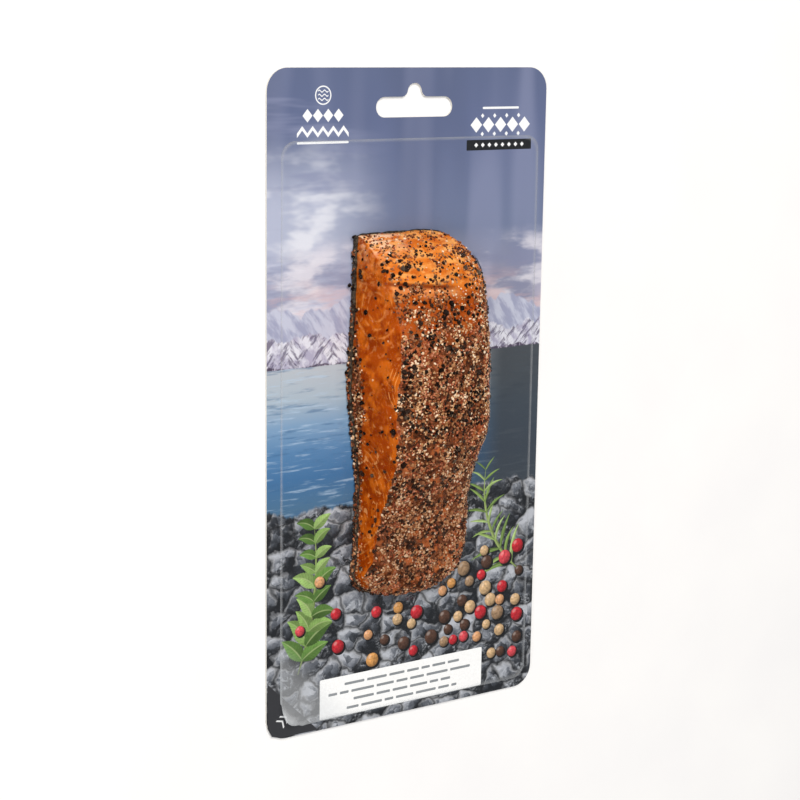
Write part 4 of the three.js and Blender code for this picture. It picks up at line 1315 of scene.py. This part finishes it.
def ink_over(bm, before, code, thick=INK_THICK):
    """Gives the flat faces that weren't there before the thickness of a layer of ink, and its
    colour."""
    flat = [face for face in bm.faces if face not in before]
    made = bmesh.ops.extrude_face_region(bm, geom=flat)["geom"]
    lifted = [item for item in made if isinstance(item, bmesh.types.BMVert)]
    bmesh.ops.translate(bm, verts=lifted, vec=(0.0, 0.0, thick))
    layers = bm.loops.layers.float_color
    layer = layers.get("ink") or layers.new("ink")
    inked = [face for face in bm.faces if face not in before]
    for face in inked:
        for corner in face.loops:
            corner[layer] = from_hex(code)
    return inked


def add_bar(bm, centre, size, corner, code, level=0):
    """A flat bar with round corners."""
    before = set(bm.faces)
    made = bmesh.ops.create_grid(bm, x_segments=1, y_segments=1, size=0.5)["verts"]
    bmesh.ops.scale(bm, verts=made, vec=(*size, 1.0))
    bmesh.ops.translate(bm, verts=made, vec=(*centre, GRAPHIC_LOW + level * LEVEL_STEP))
    bmesh.ops.bevel(
        bm, geom=made, offset=corner, segments=5, affect="VERTICES", profile=0.5, material=-1,
    )
    ink_over(bm, before, code)


def add_diamond(bm, centre, size, code, level=0):
    """A flat diamond."""
    before = set(bm.faces)
    made = bmesh.ops.create_circle(bm, cap_ends=True, segments=4, radius=0.5)["verts"]
    bmesh.ops.scale(bm, verts=made, vec=(*size, 1.0))
    bmesh.ops.translate(bm, verts=made, vec=(*centre, GRAPHIC_LOW + level * LEVEL_STEP))
    ink_over(bm, before, code)


def add_zigzag(bm, centre, size, stroke, teeth, code):
    """A flat line that goes up and down as many times as it has teeth."""
    before = set(bm.faces)
    steps = 2 * teeth
    made = bmesh.ops.create_grid(bm, x_segments=steps, y_segments=1, size=0.5)["verts"]
    for vert in made:
        step = round((vert.co.x + 0.5) * steps)
        rise = (step % 2 - 0.5) * (size[1] - stroke)
        vert.co = (
            centre[0] + vert.co.x * size[0],
            centre[1] + rise + vert.co.y * stroke,
            GRAPHIC_LOW,
        )
    ink_over(bm, before, code)


def add_leaf(bm, root, angle, length, width, bend, code, level, tooth=0.0):
    """A pointed leaf that curves away from its root. Its points keep how far along it and to
    which side they lie."""
    blade = bm.verts.layers.float_vector["blade"]
    before = set(bm.faces)
    made = bmesh.ops.create_grid(bm, x_segments=LEAF_STEPS, y_segments=2, size=1.0)["verts"]
    low = GRAPHIC_LOW + level * LEAF_STEP
    for vert in made:
        share = (vert.co.x + 1.0) / 2.0
        side = vert.co.y
        turn = angle + bend * share
        half = 0.5 * width * math.sin(math.pi * (0.03 + 0.95 * share) ** 0.75)
        half *= 1.0 + tooth * (round(share * LEAF_STEPS) % 2)
        x = (math.sin(turn) - math.sin(angle)) / bend * length - side * half * math.sin(turn)
        y = (math.cos(angle) - math.cos(turn)) / bend * length + side * half * math.cos(turn)
        vert.co = (root[0] + x, root[1] + y, low)
        vert[blade] = (share, side, 0.0)
    ink_over(bm, before, code, FINE_INK_THICK)


def add_sprig(bm, root, heading, length, bend, pairs, leaf, width, tooth, codes, chance, level):
    """A stem with leaves along it that grow shorter towards its tip."""
    add_leaf(bm, root, heading, length, 1.3, bend, codes[0], level)
    for k in range(pairs):
        share = 0.1 + 0.88 * k / (pairs - 1)
        turn = heading + bend * share
        x = root[0] + (math.sin(turn) - math.sin(heading)) / bend * length
        y = root[1] + (math.cos(heading) - math.cos(turn)) / bend * length
        size = leaf * (1.0 - 0.5 * share) * lerp(0.8, 1.15, chance.random())
        for side in (1.0, -1.0):
            level += 1
            lean = side * lerp(0.35, 0.9, chance.random())
            curl = side * lerp(0.35, 1.1, chance.random())
            code = codes[1 + int(chance.integers(0, len(codes) - 1))]
            add_leaf(bm, (x, y), turn + lean, size, width * size, curl, code, level, tooth)
    return level


def add_corn(bm, ball, centre, radius, code):
    """A printed round peppercorn with a dark shadow under its lower right."""
    for shift, grow, level, ink in ((0.22, 1.1, 0, "#2b2d31"), (0.0, 1.0, 1, code)):
        before = set(bm.faces)
        made = bmesh.ops.create_circle(
            bm, cap_ends=True, segments=18, radius=radius * grow,
        )["verts"]
        middle = (centre[0] + shift * radius, centre[1] - shift * radius)
        bmesh.ops.translate(bm, verts=made, vec=(*middle, CORN_LOW + level * CORN_STEP))
        inked = ink_over(bm, before, ink, FINE_INK_THICK)
        for vert in {vert for face in inked for vert in face.verts}:
            x = (vert.co.x - middle[0]) / radius
            y = (vert.co.y - middle[1]) / radius
            vert[ball] = (x, y, centre[0])


PANEL_MIDDLE = (-0.8, -108.6)
PANEL_SIZE = (73.5, 15.4)
RULE_TOP = -104.2  # the place of the uppermost row
RULE_SPACING = 3.15
RULE_ROWS = (52.0, 66.0, 44.0, 50.0)  # how long each row is


def make_panel(material):
    """The white panel near the lower edge, with plain grey rules."""
    bm = bmesh.new()
    add_bar(bm, PANEL_MIDDLE, PANEL_SIZE, 0.5, "#fbfcfc")
    chance = np.random.default_rng(5)
    for row, reach in enumerate(RULE_ROWS):
        y = RULE_TOP - RULE_SPACING * row
        end = PANEL_MIDDLE[0] + reach / 2
        x = end - reach
        while x < end - 2.0:
            size = min(lerp(3.5, 10.0, chance.random()), end - x)
            add_bar(bm, (x + size / 2, y), (size, 1.0), 0.3, "#8d9296", 1)
            x += size + 1.2
    return piece_from(bm, "print_panel", material, smooth=False)


LEFT_BAND = -37.6  # the middles of the ornaments in the upper corners
RIGHT_BAND = 39.0
DARK_BAR = (38.6, 92.0)
# Rows of diamonds: middle, width of the row, diamonds in it, size of each, level.
DIAMOND_ROWS = [
    ((LEFT_BAND, 103.7), 12.6, 4, (4.0, 4.6), 0), ((RIGHT_BAND, 99.3), 22.0, 5, (5.2, 5.6), 0),
    ((RIGHT_BAND, 102.6), 16.5, 4, (1.5, 1.7), 0), ((RIGHT_BAND, 96.0), 16.5, 4, (1.5, 1.7), 0),
    (DARK_BAR, 21.0, 8, (1.7, 1.7), 1),
]


def make_heading(material):
    """Plain white ornament in the upper corners, as on knitted bands: a ring with waves over
    diamonds and a zigzag, and diamonds over a dark bar."""
    bm = bmesh.new()
    white = "#f6f8fa"
    ring = bmesh.ops.create_circle(bm, cap_ends=True, segments=40, radius=3.3)["verts"]
    bmesh.ops.translate(bm, verts=ring, vec=(LEFT_BAND, 110.6, GRAPHIC_LOW))
    bmesh.ops.inset_region(bm, faces=bm.faces, thickness=0.45, use_boundary=True)
    middle = [face for face in bm.faces if len(face.verts) > 4]
    bmesh.ops.delete(bm, geom=middle, context="FACES_ONLY")
    ink_over(bm, set(), white)
    for k in range(3):
        before = set(bm.faces)
        wave = bmesh.ops.create_grid(bm, x_segments=20, y_segments=1, size=1.0)["verts"]
        for vert in wave:
            along = vert.co.x
            vert.co.x = LEFT_BAND + 2.1 * along
            vert.co.y = 112.0 - 1.4 * k + 0.2 * vert.co.y + 0.35 * math.sin(math.pi * 2.0 * along)
            vert.co.z = GRAPHIC_LOW
        ink_over(bm, before, white)
    add_bar(bm, DARK_BAR, (29.6, 3.8), 0.3, "#202226")
    for (x, y), width, count, size, level in DIAMOND_ROWS:
        for k in range(count):
            middle = x - width / 2 + width * k / (count - 1)
            add_diamond(bm, (middle, y), size, white, level)
    add_zigzag(bm, (LEFT_BAND, 98.2), (21.0, 4.0), 1.5, 5, white)
    for x, y, width in ((LEFT_BAND, 94.4, 21.0), (RIGHT_BAND, 105.4, 16.5)):
        add_bar(bm, (x, y), (width, 0.8), 0.3, white)
    return piece_from(bm, "print_heading", material, smooth=False)


def make_corner(material):
    """The dark printed corner under the film's peel corner, with two plain chevrons."""
    bm = bmesh.new()
    left = -CARD_WIDTH / 2
    low = -CARD_LENGTH / 2
    inset = 0.4
    points = [(left + inset, low + 5.0), (left + 2.2, low + 1.6), (left + 5.6, low + inset),
              (left + PEEL_LEG, low + inset), (left + inset, low + PEEL_LEG)]
    bm.faces.new([bm.verts.new((x, y, GRAPHIC_LOW)) for x, y in points])
    ink_over(bm, set(), "#35363a")
    for shift in (0.0, 2.0):
        before = set(bm.faces)
        turn = Matrix.Rotation(math.pi / 4, 4, "Z")
        place = Matrix.Translation((left + 5.4, low + 5.4, GRAPHIC_LOW + LEVEL_STEP)) @ turn
        points = [(0.0, 2.2), (1.4, 0.0), (0.0, -2.2), (0.7, -2.2), (2.1, 0.0), (0.7, 2.2)]
        bm.faces.new([bm.verts.new(place @ Vector((x + shift, y, 0.0))) for x, y in points])
        ink_over(bm, before, "#e6e8ea")
    bmesh.ops.recalc_face_normals(bm, faces=bm.faces)
    return piece_from(bm, "print_corner", material, smooth=False)


def make_herbs(material):
    """Printed sprigs of plain kitchen herbs: a broad-leaved one on the left and a narrow-leaved
    one on the right."""
    bm = bmesh.new()
    bm.verts.layers.float_vector.new("blade")
    chance = np.random.default_rng(12)
    narrow = ["#8b9f5e", "#7f9c50", "#91ad62", "#a3bd77", "#6b8746"]
    broad = ["#7d8f55", "#5f8440", "#7b9b55", "#8cab64", "#4f7035"]
    level = add_sprig(
        bm, (-47.0, -97.0), 1.2, 56.0, 0.5, 10, 14.5, 0.46, 0.14, broad, chance, 0,
    )
    add_sprig(bm, (53.0, -72.0), 2.5, 48.0, -1.1, 11, 15.0, 0.11, 0.0, narrow, chance, level + 1)
    return piece_from(bm, "print_herbs", material, smooth=False)


CORN_COUNT = 58
CORN_TRIES = 6000
CORN_CODES = [
    "#d5343e", "#e0505a", "#c92f3a", "#e2a878", "#d9b68a", "#dca05e", "#5b4136", "#a88a6c",
]


def make_corns(material):
    """Printed peppercorns of mixed colours, strewn over the lower third."""
    bm = bmesh.new()
    ball = bm.verts.layers.float_vector.new("ball")
    chance = np.random.default_rng(31)
    kept = []
    for _ in range(CORN_TRIES):
        x = lerp(-48.0, 53.0, chance.random())
        y = lerp(-110.0, -62.0, chance.random())
        right = smoothstep(x, 16.0, 34.0)
        middle = smoothstep(x, -24.0, -8.0) * (1.0 - smoothstep(x, 22.0, 30.0))
        thick = 0.06 + right + middle * smoothstep(-y, 66.0, 76.0)
        size = lerp(1.9, 2.9, chance.random())
        free = all(math.hypot(x - a, y - b) > 0.96 * (size + c) for a, b, c in kept)
        clear = float(nearest_on(OUTLINE, x, y)[1][0]) > size + 3.0
        clear &= y > -97.0 or x > 40.0
        if free and clear and chance.random() < 0.05 * thick and len(kept) < CORN_COUNT:
            kept.append((x, y, size))
            code = CORN_CODES[int(chance.integers(0, len(CORN_CODES)))]
            add_corn(bm, ball, (x, y), size, code)
    return piece_from(bm, "print_peppercorns", material, smooth=False)


# ---- Setting ----


FLOOR_HALF = 8.0  # in metres, as are all measures of the setting
FLOOR_HEIGHT = -0.0002
WORLD_STRENGTH = 0.36
CAMERA_PLACE = (-0.38633, 0.13527, 0.56364)
CAMERA_RIGHT = (0.82862, 0.01402, 0.55964)
CAMERA_UP = (0.09743, 0.98082, -0.16883)
CAMERA_BACK = (-0.55127, 0.19442, 0.81136)
CAMERA_LENS = 85.549  # millimetres, on a sensor of 36 mm


def add_light(name, place, size, energy, colour):
    """A square softbox that faces the pack."""
    lamp = bpy.data.lights.new(name, "AREA")
    lamp.shape = "SQUARE"
    lamp.size = size
    lamp.energy = energy
    lamp.color = from_hex(colour)[:3]
    holder = bpy.data.objects.new(name, lamp)
    holder.location = place
    holder.rotation_euler = (-Vector(place)).to_track_quat("-Z", "Y").to_euler()
    bpy.context.scene.collection.objects.link(holder)


def make_floor():
    """A plain pale floor of smooth painted board."""
    look = Look("pale_floor_paint")
    mm = look.mm
    mottle = look.add("TexNoise", {"Vector": mm, "Scale": 0.02, "Detail": 3.0})
    tone = look.add("ValToRGB", {"Fac": mottle}, stops=[(0.3, "#f9f9fa"), (0.7, "#fdfdfd")])
    surface = look.add(
        "BsdfPrincipled", {"Base Color": tone, "Roughness": 0.8, "Specular IOR Level": 0.2},
    )
    bm = bmesh.new()
    bmesh.ops.create_grid(bm, x_segments=8, y_segments=8, size=FLOOR_HALF)
    bmesh.ops.translate(bm, verts=bm.verts, vec=(0.0, 0.0, FLOOR_HEIGHT))
    mesh = bpy.data.meshes.new("floor")
    bm.to_mesh(mesh)
    bm.free()
    mesh.materials.append(look.finish(surface))
    floor = bpy.data.objects.new("floor", mesh)
    bpy.context.scene.collection.objects.link(floor)


def make_setting():
    """Soft light from above and from the left, a white surrounding, the floor and the camera."""
    scene = bpy.context.scene
    scene.view_settings.view_transform = "Standard"
    world = bpy.data.worlds.new("soft_studio")
    world.use_nodes = True
    background = world.node_tree.nodes["Background"]
    background.inputs["Color"].default_value = (1.0, 1.0, 1.0, 1.0)
    background.inputs["Strength"].default_value = WORLD_STRENGTH
    scene.world = world
    add_light("key", (-0.5, 1.5, 2.0), 1.4, 52.0, "#fffaf4")
    add_light("fill", (-1.8, -0.6, 1.4), 1.6, 17.0, "#fbfcff")
    make_floor()
    lens = bpy.data.cameras.new("camera")
    lens.sensor_width = 36.0
    lens.lens = CAMERA_LENS
    lens.clip_start = 0.01
    camera = bpy.data.objects.new("camera", lens)
    turn = Matrix([CAMERA_RIGHT, CAMERA_UP, CAMERA_BACK]).transposed().to_4x4()
    camera.matrix_world = Matrix.Translation(CAMERA_PLACE) @ turn
    scene.collection.objects.link(camera)
    scene.camera = camera


# ---- The pack ----

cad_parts["card"].data.materials.clear()
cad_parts["card"].data.materials.append(printed_board())

flesh_piece = make_flesh(smoked_flesh())
skin_piece = make_skin(fish_skin())
make_pepper(flesh_piece, skin_piece)
make_film(clear_film())

motif_ink = printed_motif()
make_panel(motif_ink)
make_heading(motif_ink)
make_corner(motif_ink)
make_herbs(printed_herbs())
make_corns(printed_corns())

make_setting()
